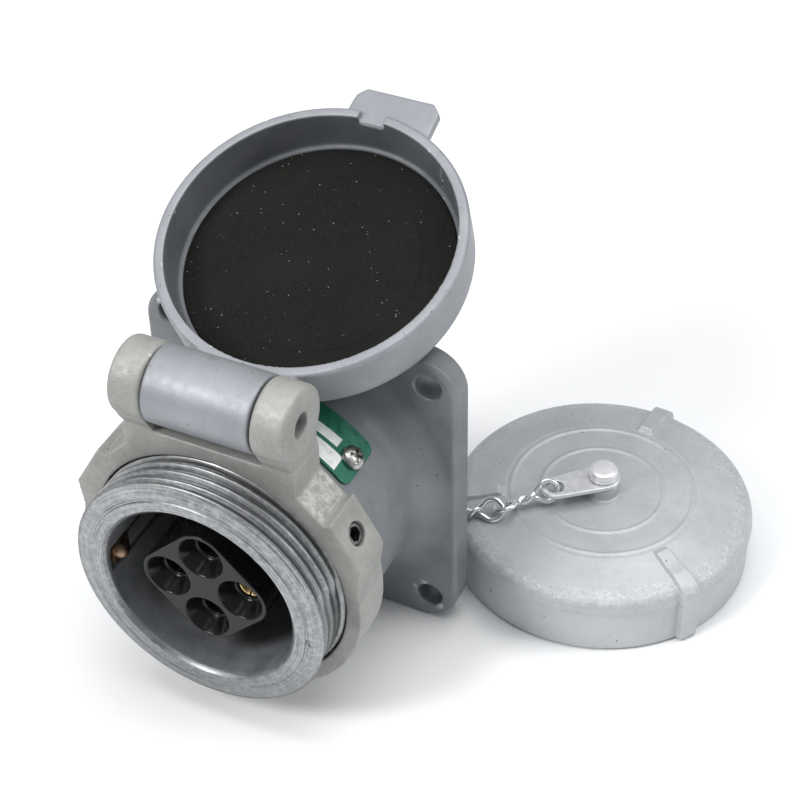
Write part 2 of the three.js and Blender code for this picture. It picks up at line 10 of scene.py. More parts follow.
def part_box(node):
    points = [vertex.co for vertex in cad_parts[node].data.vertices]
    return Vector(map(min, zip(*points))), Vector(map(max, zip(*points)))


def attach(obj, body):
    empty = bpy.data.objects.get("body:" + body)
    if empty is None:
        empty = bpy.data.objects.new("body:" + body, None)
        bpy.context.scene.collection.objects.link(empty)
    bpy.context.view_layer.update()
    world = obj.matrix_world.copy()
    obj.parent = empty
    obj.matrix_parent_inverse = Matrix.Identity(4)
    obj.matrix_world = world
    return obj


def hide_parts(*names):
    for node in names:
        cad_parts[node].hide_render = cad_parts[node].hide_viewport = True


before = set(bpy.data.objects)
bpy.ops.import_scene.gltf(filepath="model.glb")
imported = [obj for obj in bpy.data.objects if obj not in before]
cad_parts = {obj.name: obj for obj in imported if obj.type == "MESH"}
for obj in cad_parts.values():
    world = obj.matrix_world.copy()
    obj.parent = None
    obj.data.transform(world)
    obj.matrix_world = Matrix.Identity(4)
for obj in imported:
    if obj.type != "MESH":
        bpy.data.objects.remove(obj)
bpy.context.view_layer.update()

# ---- Driving dimensions, in millimetres -------------------------------------
# The barrel's own frame: its axis lies along Y, the flange's back face is at y 0 and the mouth faces -Y.
MM = 0.001
TURN = 2 * pi

FLANGE = Sizes(half=44.45, thick=8, corner=11, edge=1.5, hole=36.5, hole_r=3.55)
BARREL = Sizes(r=34.8, front=-64.2, fillet=9, mouth_r=26.1, chamber_r=29, split=-46.2)
THREAD = Sizes(pitch=2.95, depth=1.5, start=-52.4, end=-62.4, band=(-51.4, -62.9), steps=96)
MILLED = Sizes(fade_in=(-39, -34), fade_out=(19, 10), base=0.62, trace=0.16)  # angles in degrees
WEB = Sizes(back=-18, front=-22, bore_r=17)
BOSS = Sizes(front=-60.5, base=-27.7, base_r=25.5, lobe_r=7.3, pitch_r=10.1)
WELL = Sizes(r=6.2, bore_r=3.35)
REAR = Sizes(r=17.6, front=-17.7, back=-9.5, screw_r=13.6)
CONTACT = Sizes(r=3.05, socket_r=2, front=-55.5, back=-3, tail=-8)
PLATE = Sizes(thick=0.6, front=-35, back=-19.7, half_angle=50.4, screw_angle=45)
COLLAR = Sizes(front=-52.6, back=-40, r=39.3, bore_r=35.15)
PAD = Sizes(half=7.5, reach=41.5, angle=30, step=2.4)
HINGE = Sizes(y=-47.6, z=51.3, r=9.8, lug_in=14.5, lug_out=23.4, pin_r=3, pin_half=20)
DOOR = Sizes(r=40, wall_r=37.3, rim=-5.4, deep=11.4, back=15.6, gasket_r=35.1, gasket=2.2)
TAB = Sizes(left=-8.5, right=15.5, reach=8, thick=2.6, lip=3.6)
DOOR_OPEN = 248.5
CAP = Sizes(r=41.9, high=20.2, bore_r=35.6, deep=14.2, seal=2.4, parting=13.7, rings=(25.2, 16.9))
CAP_RING_HIGH = 0.3
RIB = Sizes(inner=27, angles=(-35, 85, 205), half_in=2.0, half_out=2.7, high=1.2)
POST = Sizes(r=4.8, high=3.4, shank_r=2.1, head_r=4, head=2.8)
CLIP = Sizes(thick=1.3, big_r=4.8, small_r=3.9, reach=14, hole_r=2.4, angle=222)
LINK = Sizes(wire_r=0.75, loop_r=2.9, span=12.55, pitch=16.2, twist_r=0.85)
SPRING = Sizes(coils=7, pitch=2.2, r=5.1, wire_r=0.6, steps=32)
CHAIN_LEGS = [(225, 8, 60), (199, 15.5, 45), (202, 53, 45), (184.5, 5.8, 45), (183.5, 0, 45), (181, 0, 60)]
GAP = 0.3
PLATE.middle = (PLATE.front + PLATE.back) / 2
COLLAR.middle = (COLLAR.front + COLLAR.back) / 2
SET_SCREW_ANGLES = (PAD.angle, 180 - PAD.angle, 270)

housing_low, housing_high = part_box("housing")
AXIS = Vector(((housing_low.x + housing_high.x) / 2, housing_high.y, housing_high.z - FLANGE.half * MM))
seal_low, seal_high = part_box("cap_gasket")
CAP_FOOT = Vector(((seal_low.x + seal_high.x) / 2, (seal_low.y + seal_high.y) / 2, 0))
CAP_PLACE = (CAP_FOOT - AXIS) / MM


# ---- Camera, light and floor ------------------------------------------------
# The camera's place from the barrel's axis and its lens are in millimetres, its angles in degrees.
CAMERA = Sizes(place=(191.16, -334.51, 342.0), angles=(26.42, 40.54, -1.32), lens=86.66)
# A lamp's name, its place and side in metres, and its power in watts.
SOFTBOXES = [("left_front", (-0.45, -0.72, 0.8), 0.32, 7.5), ("overhead", (0.1, 0.1, 1.0), 0.8, 6.0),
             ("right_side", (0.9, 0.32, 0.62), 0.5, 3.6), ("glint", (-0.37, -0.21, 1.0), 0.14, 1.0)]
LIGHT_AIM = (0, 0, 0.04)
FLOOR_ROUGH = 0.65


def set_values(thing, values):
    """Sets attributes from a dictionary."""
    for key, value in values.items():
        setattr(thing, key, value)
    return thing


def put_in_scene(obj):
    bpy.context.scene.collection.objects.link(obj)


def look_from(place, azimuth, elevation, roll, lens):
    """A camera at a place, with its back towards the azimuth and elevation."""
    a, e, t = (radians(v) for v in (azimuth, elevation, roll))
    back = Vector((sin(a) * cos(e), -cos(a) * cos(e), sin(e)))
    level = Vector((cos(a), sin(a), 0))
    rise = back.cross(level)
    right = cos(t) * level + sin(t) * rise
    up = cos(t) * rise - sin(t) * level
    data = bpy.data.cameras.new("camera")
    set_values(data, {"lens": lens, "sensor_width": 36, "clip_start": 0.01, "clip_end": 20})
    camera = bpy.data.objects.new("camera", data)
    camera.matrix_world = Matrix.Translation(place) @ Matrix((right, up, back)).transposed().to_4x4()
    put_in_scene(camera)
    bpy.context.scene.camera = camera


def softbox(name, place, size, power):
    """A square lamp at a place in metres, turned to the middle of the part."""
    data = bpy.data.lights.new(name, "AREA")
    set_values(data, {"shape": "RECTANGLE", "size": size, "size_y": size, "energy": power})
    light = bpy.data.objects.new(name, data)
    light.location = place
    light.rotation_mode = "QUATERNION"
    light.rotation_quaternion = (Vector(LIGHT_AIM) - Vector(place)).to_track_quat("-Z", "Y")
    put_in_scene(light)


def make_studio():
    look_from(AXIS + Vector(CAMERA.place) * MM, *CAMERA.angles, CAMERA.lens)
    for lamp in SOFTBOXES:
        softbox(*lamp)
    world = bpy.data.worlds.new("studio")
    world.use_nodes = True
    background = world.node_tree.nodes["Background"]
    background.inputs["Color"].default_value = (0.93, 0.96, 1, 1)
    background.inputs["Strength"].default_value = 0.34
    bpy.context.scene.world = world
    bpy.context.scene.view_settings.view_transform = "Standard"


# ---- Materials --------------------------------------------------------------
class Look:
    """A procedural material, with short calls for its nodes. Places are in millimetres."""

    def __init__(self, name, metallic=0.0, roughness=0.5, **sockets):
        self.material = bpy.data.materials.new(name)
        self.material.use_nodes = True
        self.tree = self.material.node_tree
        self.shader = self.tree.nodes["Principled BSDF"]
        self.shader.inputs["Metallic"].default_value = metallic
        self.shader.inputs["Roughness"].default_value = roughness
        for socket, value in sockets.items():
            self.shader.inputs[socket.replace("_", " ")].default_value = value
        coords = self.add("ShaderNodeTexCoord").outputs["Object"]
        self.place = self.vector("MULTIPLY", coords, (1 / MM,) * 3)
        self.normal = None

    def add(self, kind, **settings):
        return set_values(self.tree.nodes.new(kind), settings)

    def feed(self, socket, value):
        if isinstance(value, bpy.types.NodeSocket):
            self.tree.links.new(value, socket)
        elif socket.type == "RGBA":
            red, green, blue = value if isinstance(value, tuple) else (value,) * 3
            socket.default_value = (red, green, blue, 1)
        else:
            socket.default_value = value

    def vector(self, operation, a, b):
        node = self.add("ShaderNodeVectorMath", operation=operation)
        self.feed(node.inputs[0], a)
        self.feed(node.inputs[1], b)
        return node.outputs[0]

    def math(self, operation, a, b=0.0, clamp=False):
        node = self.add("ShaderNodeMath", operation=operation, use_clamp=clamp)
        self.feed(node.inputs[0], a)
        self.feed(node.inputs[1], b)
        return node.outputs[0]

    def noise(self, scale, detail=3.0, roughness=0.6, at=None):
        """Noise with about `scale` features to the millimetre."""
        node = self.add("ShaderNodeTexNoise")
        self.feed(node.inputs["Vector"], at or self.place)
        node.inputs["Scale"].default_value = scale
        node.inputs["Detail"].default_value = detail
        node.inputs["Roughness"].default_value = roughness
        return node.outputs[0]

    def cells(self, scale):
        node = self.add("ShaderNodeTexVoronoi")
        self.feed(node.inputs["Vector"], self.place)
        node.inputs["Scale"].default_value = scale
        return node.outputs["Distance"]

    def step(self, value, low, high, bottom=0.0, top=1.0):
        """A smooth rise from bottom to top as value goes from low to high."""
        node = self.add("ShaderNodeMapRange", interpolation_type="SMOOTHSTEP")
        for socket, given in zip(node.inputs, (value, low, high, bottom, top)):
            self.feed(socket, given)
        return node.outputs[0]

    def blend(self, share, first, second):
        node = self.add("ShaderNodeMix", data_type="RGBA")
        self.feed(node.inputs[0], share)
        self.feed(node.inputs[6], first)
        self.feed(node.inputs[7], second)
        return node.outputs[2]

    def patches(self, scale, detail, roughness, low, high, *ends):
        """Noise with its contrast raised until it falls into patches."""
        return self.step(self.noise(scale, detail, roughness), low, high, *ends)

    def tint(self, base, mask, share, colour):
        """Lays a share of a colour over the base where the mask is 1."""
        return self.blend(self.math("MULTIPLY", mask, share), base, colour)

    def edges(self, low, high):
        """1 on worn outer edges."""
        return self.step(self.add("ShaderNodeNewGeometry").outputs["Pointiness"], low, high)

    def split(self, vector):
        node = self.add("ShaderNodeSeparateXYZ")
        self.feed(node.inputs[0], vector)
        return node.outputs

    def around(self, centre):
        """Radius, angle and place along Y about an axis through centre, in millimetres."""
        x, y, z = self.split(self.vector("SUBTRACT", self.place, tuple(centre / MM)))
        squares = self.math("ADD", self.math("MULTIPLY", x, x), self.math("MULTIPLY", z, z))
        radius = self.math("SQRT", squares)
        return radius, self.math("ARCTAN2", z, x), y

    def rings(self, centre, fine, along):
        """Noise drawn out into rings about an axis along Y, as a lathe leaves."""
        radius, angle, y = self.around(centre)
        joined = self.add("ShaderNodeCombineXYZ")
        self.feed(joined.inputs[0], self.math("MULTIPLY", radius, fine))
        self.feed(joined.inputs[1], self.math("MULTIPLY", y, fine))
        self.feed(joined.inputs[2], self.math("MULTIPLY", angle, along))
        return self.noise(1.0, 4.0, 0.65, joined.outputs[0])

    def surface(self, colour, roughness):
        self.feed(self.shader.inputs["Base Color"], colour)
        self.feed(self.shader.inputs["Roughness"], roughness)

    def bump(self, height, depth):
        """Adds relief of the given depth in millimetres."""
        node = self.add("ShaderNodeBump")
        node.inputs["Strength"].default_value = 1
        node.inputs["Distance"].default_value = depth * MM
        self.feed(node.inputs["Height"], height)
        if self.normal:
            self.feed(node.inputs["Normal"], self.normal)
        self.normal = node.outputs[0]
        self.feed(self.shader.inputs["Normal"], self.normal)

    def relief(self, scale, detail, roughness, depth):
        self.bump(self.noise(scale, detail, roughness), depth)


def aluminium_paint(name, light, dark, metallic=0.4, grain=1.0):
    """Satin aluminium paint over a casting, with flakes, soft blotches, pinholes and rubbed edges."""
    look = Look(name, metallic, 0.45)
    blotch = look.patches(0.07, 4, 0.55, 0.34, 0.66)
    flakes = look.patches(3.6, 2, 0.7, 0.3, 0.7)
    base = look.blend(blotch, dark, light)
    shade = tuple(v * 0.8 for v in dark)
    base = look.tint(base, flakes, 0.3, tuple(min(1, v * 1.2) for v in light))
    base = look.tint(base, look.patches(0.16, 5, 0.7, 0.56, 0.76), 0.45, shade)  # smudge
    base = look.tint(base, look.patches(0.9, 1, 0.4, 0.745, 0.79), 0.75, 0.07)  # pinholes
    rubbed = look.math("MULTIPLY", look.edges(0.53, 0.60), look.patches(0.7, 4, 0.7, 0.35, 0.6))
    base = look.tint(base, rubbed, 0.6, 0.8)
    look.surface(base, look.patches(0.5, 4, 0.6, 0.3, 0.7, 0.48, 0.56))
    look.relief(0.45, 3, 0.55, 0.035 * grain)
    look.relief(2.4, 3, 0.6, 0.045 * grain)
    return look.material


def cap_paint():
    """The cap's paint: the same finish, worn to bright speckled metal round its shoulder."""
    look = Look("cap_paint", 0.35, 0.5)
    blotch = look.patches(0.06, 4, 0.6, 0.34, 0.66)
    flakes = look.patches(3.6, 2, 0.7, 0.3, 0.7)
    base = look.blend(blotch, (0.4, 0.423, 0.428), (0.465, 0.488, 0.498))
    base = look.tint(base, flakes, 0.35, (0.62, 0.64, 0.65))
    high = look.split(look.place)[2]
    shoulder = look.math("MULTIPLY", look.step(high, 15.6, 16.8), look.step(high, 19.0, 18.0))
    worn = look.math("MULTIPLY", shoulder, look.patches(0.55, 5, 0.75, 0.46, 0.62))
    base = look.tint(base, worn, 0.4, (0.72, 0.715, 0.72))
    bitten = look.math("MULTIPLY", shoulder, look.patches(0.8, 4, 0.8, 0.6, 0.68))
    base = look.tint(base, bitten, 0.7, 0.16)
    base = look.tint(base, look.patches(0.8, 1, 0.4, 0.77, 0.8), 0.8, 0.08)  # pinholes
    look.surface(base, look.patches(0.5, 4, 0.6, 0.3, 0.7, 0.42, 0.56))
    look.relief(0.4, 4, 0.6, 0.09)
    look.relief(2.2, 3, 0.6, 0.05)
    look.bump(worn, 0.06)
    return look.material


def raw_casting():
    """Bare die-cast alloy gone warm grey, with a fine sandy skin and painted shade in its corners."""
    look = Look("raw_casting", 0.35, 0.6)
    base = look.blend(look.patches(0.09, 5, 0.62, 0.32, 0.68), (0.267, 0.269, 0.25), (0.359, 0.361, 0.34))
    base = look.tint(base, look.patches(2.6, 3, 0.7, 0.3, 0.7), 0.35, (0.44, 0.44, 0.418))  # sand
    # painted shade: darker in hollows and inner corners, where pointiness is low
    hollow_shade = look.math("SUBTRACT", 1.0, look.edges(0.40, 0.49))
    base = look.tint(base, hollow_shade, 0.6, (0.14, 0.14, 0.13))
    bright = look.math("MULTIPLY", look.edges(0.52, 0.60), look.patches(0.5, 4, 0.7, 0.4, 0.62))
    base = look.tint(base, bright, 0.5, (0.72, 0.72, 0.7))
    base = look.tint(base, look.patches(1.1, 1, 0.4, 0.72, 0.78), 0.6, (0.12, 0.12, 0.11))  # pits
    look.surface(base, look.patches(0.6, 4, 0.6, 0.3, 0.7, 0.5, 0.7))
    look.relief(0.5, 4, 0.6, 0.16)
    look.relief(2.4, 3, 0.65, 0.07)
    return look.material


def machined():
    """Bare turned aluminium of the threaded mouth, ringed by the tool and mottled by age, with painted shade
    in the thread's roots and towards the bottom.
    """
    look = Look("machined_aluminium", 0.8, 0.38)
    rings = look.rings(AXIS, 2.6, 1.6)
    base = look.blend(look.step(rings, 0.32, 0.68), (0.17, 0.176, 0.18), (0.375, 0.383, 0.39))
    base = look.tint(base, look.patches(0.55, 5, 0.72, 0.42, 0.66), 0.45, (0.56, 0.56, 0.555))  # mottle
    radius, _angle, y = look.around(AXIS)
    # painted shade: darker in the thread's roots
    groove_shade = look.math("MULTIPLY", look.step(radius, 34.3, 33.4), look.step(y, -62.6, -61.8))
    base = look.tint(base, groove_shade, 0.8, (0.09, 0.094, 0.1))
    # painted shade: darker towards the bottom of the mouth
    lower_shade = look.step(look.split(look.place)[2], 48, 12)
    base = look.tint(base, lower_shade, 0.45, (0.13, 0.135, 0.14))
    look.surface(base, look.step(rings, 0.3, 0.7, 0.28, 0.5))
    look.bump(rings, 0.03)
    look.relief(1.2, 4, 0.6, 0.02)
    return look.material


def slate_paint():
    """Dark paint inside the mouth, with a dusting of lighter grains."""
    look = Look("slate_paint", 0.25, 0.5)
    base = look.blend(look.patches(0.12, 4, 0.6, 0.35, 0.65), (0.138, 0.146, 0.155), (0.195, 0.205, 0.215))
    base = look.tint(base, look.patches(2.2, 2, 0.6, 0.56, 0.72), 0.3, (0.26, 0.27, 0.28))  # grains
    look.surface(base, look.patches(0.8, 3, 0.6, 0.3, 0.7, 0.42, 0.58))
    look.relief(1.6, 3, 0.6, 0.05)
    return look.material


def black_resin():
    """Glossy moulded resin with faint scuffs and dust."""
    look = Look("black_resin", 0.0, 0.14, Specular_IOR_Level=0.3)
    dust = look.patches(0.8, 5, 0.75, 0.55, 0.8)
    base = look.tint((0.006, 0.006, 0.007), dust, 0.2, 0.05)
    look.surface(base, look.patches(0.35, 5, 0.7, 0.35, 0.7, 0.13, 0.33))
    look.relief(0.3, 2, 0.5, 0.02)
    return look.material


def rubber():
    """Black sheet rubber with a cloth-like tooth and pale dust specks."""
    look = Look("gasket_rubber", 0.0, 0.85, Specular_IOR_Level=0.2)
    tooth = look.noise(2.0, 4, 0.75)
    base = look.blend(look.step(tooth, 0.35, 0.72), 0.003, (0.017, 0.0165, 0.014))
    base = look.tint(base, look.patches(0.05, 3, 0.6, 0.35, 0.7), 0.25, (0.018, 0.0175, 0.015))  # broad
    specks = look.step(look.cells(0.7), 0.11, 0.06)
    chosen = look.patches(0.27, 2, 0.5, 0.52, 0.6)
    base = look.tint(base, specks, chosen, (0.42, 0.42, 0.4))
    look.surface(base, look.step(tooth, 0.3, 0.7, 0.78, 0.95))
    look.bump(tooth, 0.12)
    return look.material


def metal(name, dark, light, roughness, coarse=0.4, relief=0.006, metallic=1.0):
    """A bare or plated metal with uneven tarnish, fine handling marks and painted shade in its hollows."""
    look = Look(name, metallic, roughness)
    base = look.blend(look.patches(coarse, 5, 0.65, 0.34, 0.66), dark, light)
    # painted shade: darker in hollows and inner corners, where pointiness is low
    hollow_shade = look.math("SUBTRACT", 1.0, look.edges(0.42, 0.495))
    base = look.tint(base, hollow_shade, 0.5, tuple(v * 0.3 for v in dark))
    look.surface(base, look.patches(coarse * 3, 4, 0.7, 0.3, 0.7, roughness * 0.85, roughness * 1.15))
    look.relief(coarse * 5, 3, 0.6, relief)
    return look.material


def nameplate_look():
    """Green enamel with blank pale panels and a dulled surface."""
    look = Look("nameplate_enamel", 0.25, 0.35)
    _radius, angle, y = look.around(AXIS)
    side = look.math("ABSOLUTE", look.math("SUBTRACT", angle, pi / 2))
    soft = 0.12

    def panel(front, back, half_angle):
        along = look.math("MULTIPLY", look.step(y, front, front + soft), look.step(y, back, back - soft))
        return look.math("MULTIPLY", along, look.step(side, half_angle, half_angle - 0.005))

    rear_strip = panel(-28.3, -25.2, radians(37.5))
    front_strip = panel(-34.3, -29.4, radians(42))
    pale = look.math("MAXIMUM", rear_strip, front_strip)
    blotch = look.patches(0.3, 4, 0.6, 0.35, 0.65)
    green = look.blend(blotch, (0.012, 0.125, 0.075), (0.02, 0.165, 0.10))
    white = look.blend(look.patches(0.4, 4, 0.6, 0.35, 0.65), (0.76, 0.78, 0.77), (0.9, 0.91, 0.91))
    base = look.blend(pale, green, white)
    base = look.tint(base, look.patches(0.9, 5, 0.75, 0.6, 0.72), 0.35, (0.3, 0.33, 0.31))  # scuffs
    look.surface(base, look.patches(0.6, 4, 0.6, 0.3, 0.7, 0.26, 0.45))
    look.bump(pale, 0.05)
    look.relief(1.1, 3, 0.6, 0.02)
    return look.material


def floor_look():
    look = Look("pale_floor", 0.0, FLOOR_ROUGH)
    tone = look.patches(0.004, 3, 0.5, 0.3, 0.7)
    look.surface(look.blend(tone, (0.90, 0.905, 0.91), (0.93, 0.935, 0.94)), FLOOR_ROUGH)
    return look.material


# ---- Mesh helpers, in millimetres -------------------------------------------
def new_object(name, points, faces):
    mesh = bpy.data.meshes.new(name)
    mesh.from_pydata([tuple(p) for p in points], [], faces)
    mesh.update()
    obj = bpy.data.objects.new(name, mesh)
    put_in_scene(obj)
    face_outwards(obj)
    return obj


def face_outwards(obj):
    work = bmesh.new()
    work.from_mesh(obj.data)
    bmesh.ops.recalc_face_normals(work, faces=work.faces)
    work.to_mesh(obj.data)
    work.free()


def skin(name, columns, ring):
    """Joins neighbouring columns of points all the way round. A ring's columns close on themselves.
    Other columns begin and end at the same two points on the axis."""
    count, rows = len(columns), len(columns[0])
    if ring:
        points = [p for column in columns for p in column]

        def at(i, j):
            return (i % count) * rows + j % rows

        places = [(i, j) for i in range(count) for j in range(rows)]
        faces = [(at(i, j), at(i, j + 1), at(i + 1, j + 1), at(i + 1, j)) for i, j in places]
        return new_object(name, points, faces)
    inner = rows - 2
    points = [columns[0][0], columns[0][-1]] + [p for column in columns for p in column[1:-1]]

    def at(i, j):
        return 2 + (i % count) * inner + j

    faces = []
    for i in range(count):
        faces.append((0, at(i, 0), at(i + 1, 0)))
        faces.append((1, at(i + 1, inner - 1), at(i, inner - 1)))
        faces += [(at(i, j), at(i, j + 1), at(i + 1, j + 1), at(i + 1, j)) for j in range(inner - 1)]
    return new_object(name, points, faces)


def round_corners(profile, radius, ring=False, steps=4):
    """Rounds a profile's corners. Those on the axis and the ends of an open profile stay."""
    made = []
    count = len(profile)
    for i, point in enumerate(profile):
        if not ring and i in (0, count - 1):
            made.append(point)
            continue
        before, here, after = (Vector(profile[k % count]) for k in (i - 1, i, i + 1))
        into, out = before - here, after - here
        if into.length < 1e-6 or out.length < 1e-6 or pi - into.angle(out) < radians(12):
            made.append(point)
            continue
        reach = min(radius, into.length * 0.45, out.length * 0.45)
        start, end = here + into.normalized() * reach, here + out.normalized() * reach
        for k in range(steps + 1):
            t = k / steps
            made.append(tuple(start * (1 - t) ** 2 + here * 2 * t * (1 - t) + end * t**2))
    return made


def resample(profile, count):
    """The same line with its points evenly spaced."""
    points = [Vector(p) for p in profile]
    lengths = [0.0]
    for a, b in zip(points, points[1:]):
        lengths.append(lengths[-1] + (b - a).length)
    made, k = [], 0
    for i in range(count):
        goal = lengths[-1] * i / (count - 1)
        while k < len(points) - 2 and lengths[k + 1] < goal:
            k += 1
        span = max(lengths[k + 1] - lengths[k], 1e-9)
        made.append(tuple(points[k].lerp(points[k + 1], min(1, (goal - lengths[k]) / span))))
    return made


def stand(axis, radius, angle, high):
    """A point at a radius and angle about an axis, at a height along it."""
    u, v = radius * cos(angle), radius * sin(angle)
    return {"X": (high, u, v), "Y": (u, high, v), "Z": (u, v, high)}[axis]


def lathe(name, profile, axis="Y", corner=0.2, segments=96, centre=(0, 0, 0)):
    ring = profile[0][0] > 0
    soft = round_corners(profile, corner, ring) if corner else profile
    columns = []
    for i in range(segments):
        angle = TURN * i / segments
        columns.append([Vector(stand(axis, r, angle, h)) + Vector(centre) for r, h in soft])
    return skin(name, columns, ring)


def turned(name, section, segments):
    """A ring about Y whose section, as radius and y, changes with the angle."""
    angles = [TURN * i / segments for i in range(segments)]
    return skin(name, [[stand("Y", r, a, y) for r, y in section(a)] for a in angles], True)


def rod(name, radius, low, high, axis="Y", centre=(0, 0, 0), corner=0.2, segments=64):
    return lathe(name, [(0, low), (radius, low), (radius, high), (0, high)], axis, corner, segments, centre)


def prism(name, outline, low, high, axis="Y"):
    """An outline given thickness along an axis. Its two coordinates are the other axes, in X, Y, Z order."""
    orders = {"X": lambda u, v, t: (t, u, v), "Y": lambda u, v, t: (u, t, v), "Z": lambda u, v, t: (u, v, t)}
    order = orders[axis]
    count = len(outline)
    points = [order(u, v, t) for t in (low, high) for u, v in outline]
    faces = [tuple(range(count)), tuple(range(2 * count - 1, count - 1, -1))]
    faces += [(i, (i + 1) % count, count + (i + 1) % count, count + i) for i in range(count)]
    return new_object(name, points, faces)


def hexagon(radius):
    return [(radius * cos(k * TURN / 6), radius * sin(k * TURN / 6)) for k in range(6)]


def box(name, low, high):
    (x0, y0, z0), (x1, y1, z1) = low, high
    return prism(name, [(x0, y0), (x1, y0), (x1, y1), (x0, y1)], z0, z1, "Z")


def carried_frames(path, closed):
    """Side vectors carried along a path without twist, and made to meet again on a closed one."""
    count = len(path)
    ahead = []
    for i in range(count):
        last, following = (i - 1, (i + 1) % count) if closed else (max(i - 1, 0), min(i + 1, count - 1))
        before, after = path[last], path[following]
        ahead.append((after - before).normalized())
    side = ahead[0].orthogonal().normalized()
    sides = []
    for direction in ahead:
        side = (side - direction * side.dot(direction)).normalized()
        sides.append(side.copy())
    if closed:
        back = (side - ahead[0] * side.dot(ahead[0])).normalized()
        slip = atan2(ahead[0].dot(back.cross(sides[0])), back.dot(sides[0]))
        sides = [Matrix.Rotation(slip * i / count, 3, ahead[i]) @ sides[i] for i in range(count)]
    return ahead, sides


def sweep(name, path, radius, sides=14, closed=False):
    """A round wire along a path, with domed ends unless the path closes on itself."""
    path = [Vector(p) for p in path]
    ahead, across = carried_frames(path, closed)
    rings = [(p, u, a.cross(u), radius) for p, a, u in zip(path, ahead, across)]
    if not closed:
        dome = [(sin(radians(a)), cos(radians(a))) for a in (22, 45, 68)]
        first, last = rings[0], rings[-1]
        head = [(first[0] - ahead[0] * radius * c, first[1], first[2], radius * s) for s, c in dome]
        tail = [(last[0] + ahead[-1] * radius * c, last[1], last[2], radius * s) for s, c in reversed(dome)]
        rings = head + rings + tail
    columns = []
    for k in range(sides):
        a = TURN * k / sides
        column = [p + (u * cos(a) + v * sin(a)) * r for p, u, v, r in rings]
        if not closed:
            column = [path[0] - ahead[0] * radius, *column, path[-1] + ahead[-1] * radius]
        columns.append(column)
    return skin(name, columns, closed)


def modify(obj, kind, settle=True, **settings):
    """Gives an object a modifier, and applies all it has unless told to leave them."""
    set_values(obj.modifiers.new(kind.lower(), kind), settings)
    if settle:
        settle_modifiers(obj)
    return obj


def settle_modifiers(obj):
    graph = bpy.context.evaluated_depsgraph_get()
    made = bpy.data.meshes.new_from_object(obj.evaluated_get(graph))
    obj.modifiers.clear()
    old, obj.data = obj.data, made
    bpy.data.meshes.remove(old)


def combine(target, tool, operation):
    """Joins the tool to the target, or cuts the target with it."""
    modify(target, "BOOLEAN", operation=operation, object=tool, solver="EXACT")
    old = tool.data
    bpy.data.objects.remove(tool)
    bpy.data.meshes.remove(old)
    return target


def join(target, *tools):
    for tool in tools:
        combine(target, tool, "UNION")
    return target


def cut(target, *tools):
    for tool in tools:
        combine(target, tool, "DIFFERENCE")
    return target


def cast_skin(obj, voxel, rounds):
    """Gives a solid the soft edges and fillets of a casting."""
    modify(obj, "REMESH", settle=False, mode="VOXEL", voxel_size=voxel)
    return modify(obj, "SMOOTH", factor=0.5, iterations=rounds)


def bevel(obj, width, segments=3):
    limit = {"limit_method": "ANGLE", "angle_limit": radians(35)}
    return modify(obj, "BEVEL", width=width, segments=segments, harden_normals=False, **limit)


def two_coats(obj, first, second, is_second):
    """Gives a piece two materials, the second on faces whose middle passes the test."""
    obj.data.materials.append(first)
    obj.data.materials.append(second)
    for face in obj.data.polygons:
        face.material_index = 1 if is_second(*face.center) else 0


def finish_piece(obj, material, body="housing", nodes=None, origin=AXIS, even=True):
    """Scales a piece to metres, puts it in its place and ties it to the frame, where it stands for
    the CAD node of the same name unless other nodes are given."""
    nodes = nodes or [obj.name.split(".")[0]]
    obj.data.transform(Matrix.Translation(origin) @ Matrix.Scale(MM, 4))
    obj.data.shade_smooth()
    if not obj.data.materials:
        obj.data.materials.append(material)
    if even:
        modify(obj, "WEIGHTED_NORMAL", settle=False, keep_sharp=True)
    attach(obj, body)
    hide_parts(*nodes)
    return obj


def carry_node(node, material, width):
    """A CAD node that stays, with softened edges and a better material."""
    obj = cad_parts[node]
    obj.data.materials.clear()
    obj.data.materials.append(material)
    modify(obj, "BEVEL", settle=False, width=width * MM, segments=2, limit_method="ANGLE")


def about(axis, angle):
    return Matrix.Rotation(radians(angle), 4, axis)


def smooth_step(value, low, high):
    t = min(1, max(0, (value - low) / (high - low)))
    return t * t * (3 - 2 * t)


def radial_frame(angle, y):
    """Turns a piece drawn along +Z so that it points outwards from the barrel at an angle from +X."""
    return Matrix.Translation((0, y, 0)) @ about("Y", 90 - angle)


def drill(obj, radius, low, high, turn):
    """A hole drawn along +Z and then turned to its place."""
    tool = rod("drill", radius, low, high, "Z", corner=0)
    tool.data.transform(turn)
    cut(obj, tool)


# ---- Housing ----------------------------------------------------------------
def square_reach(angle, half, corner):
    """Distance from the middle of a square with round corners to its edge."""
    c, s = abs(cos(angle)), abs(sin(angle))
    flat = half / max(c, s)
    core = half - corner
    if flat * min(c, s) <= core:
        return flat
    along = core * (c + s)
    return along + sqrt(along * along - 2 * core * core + corner * corner)


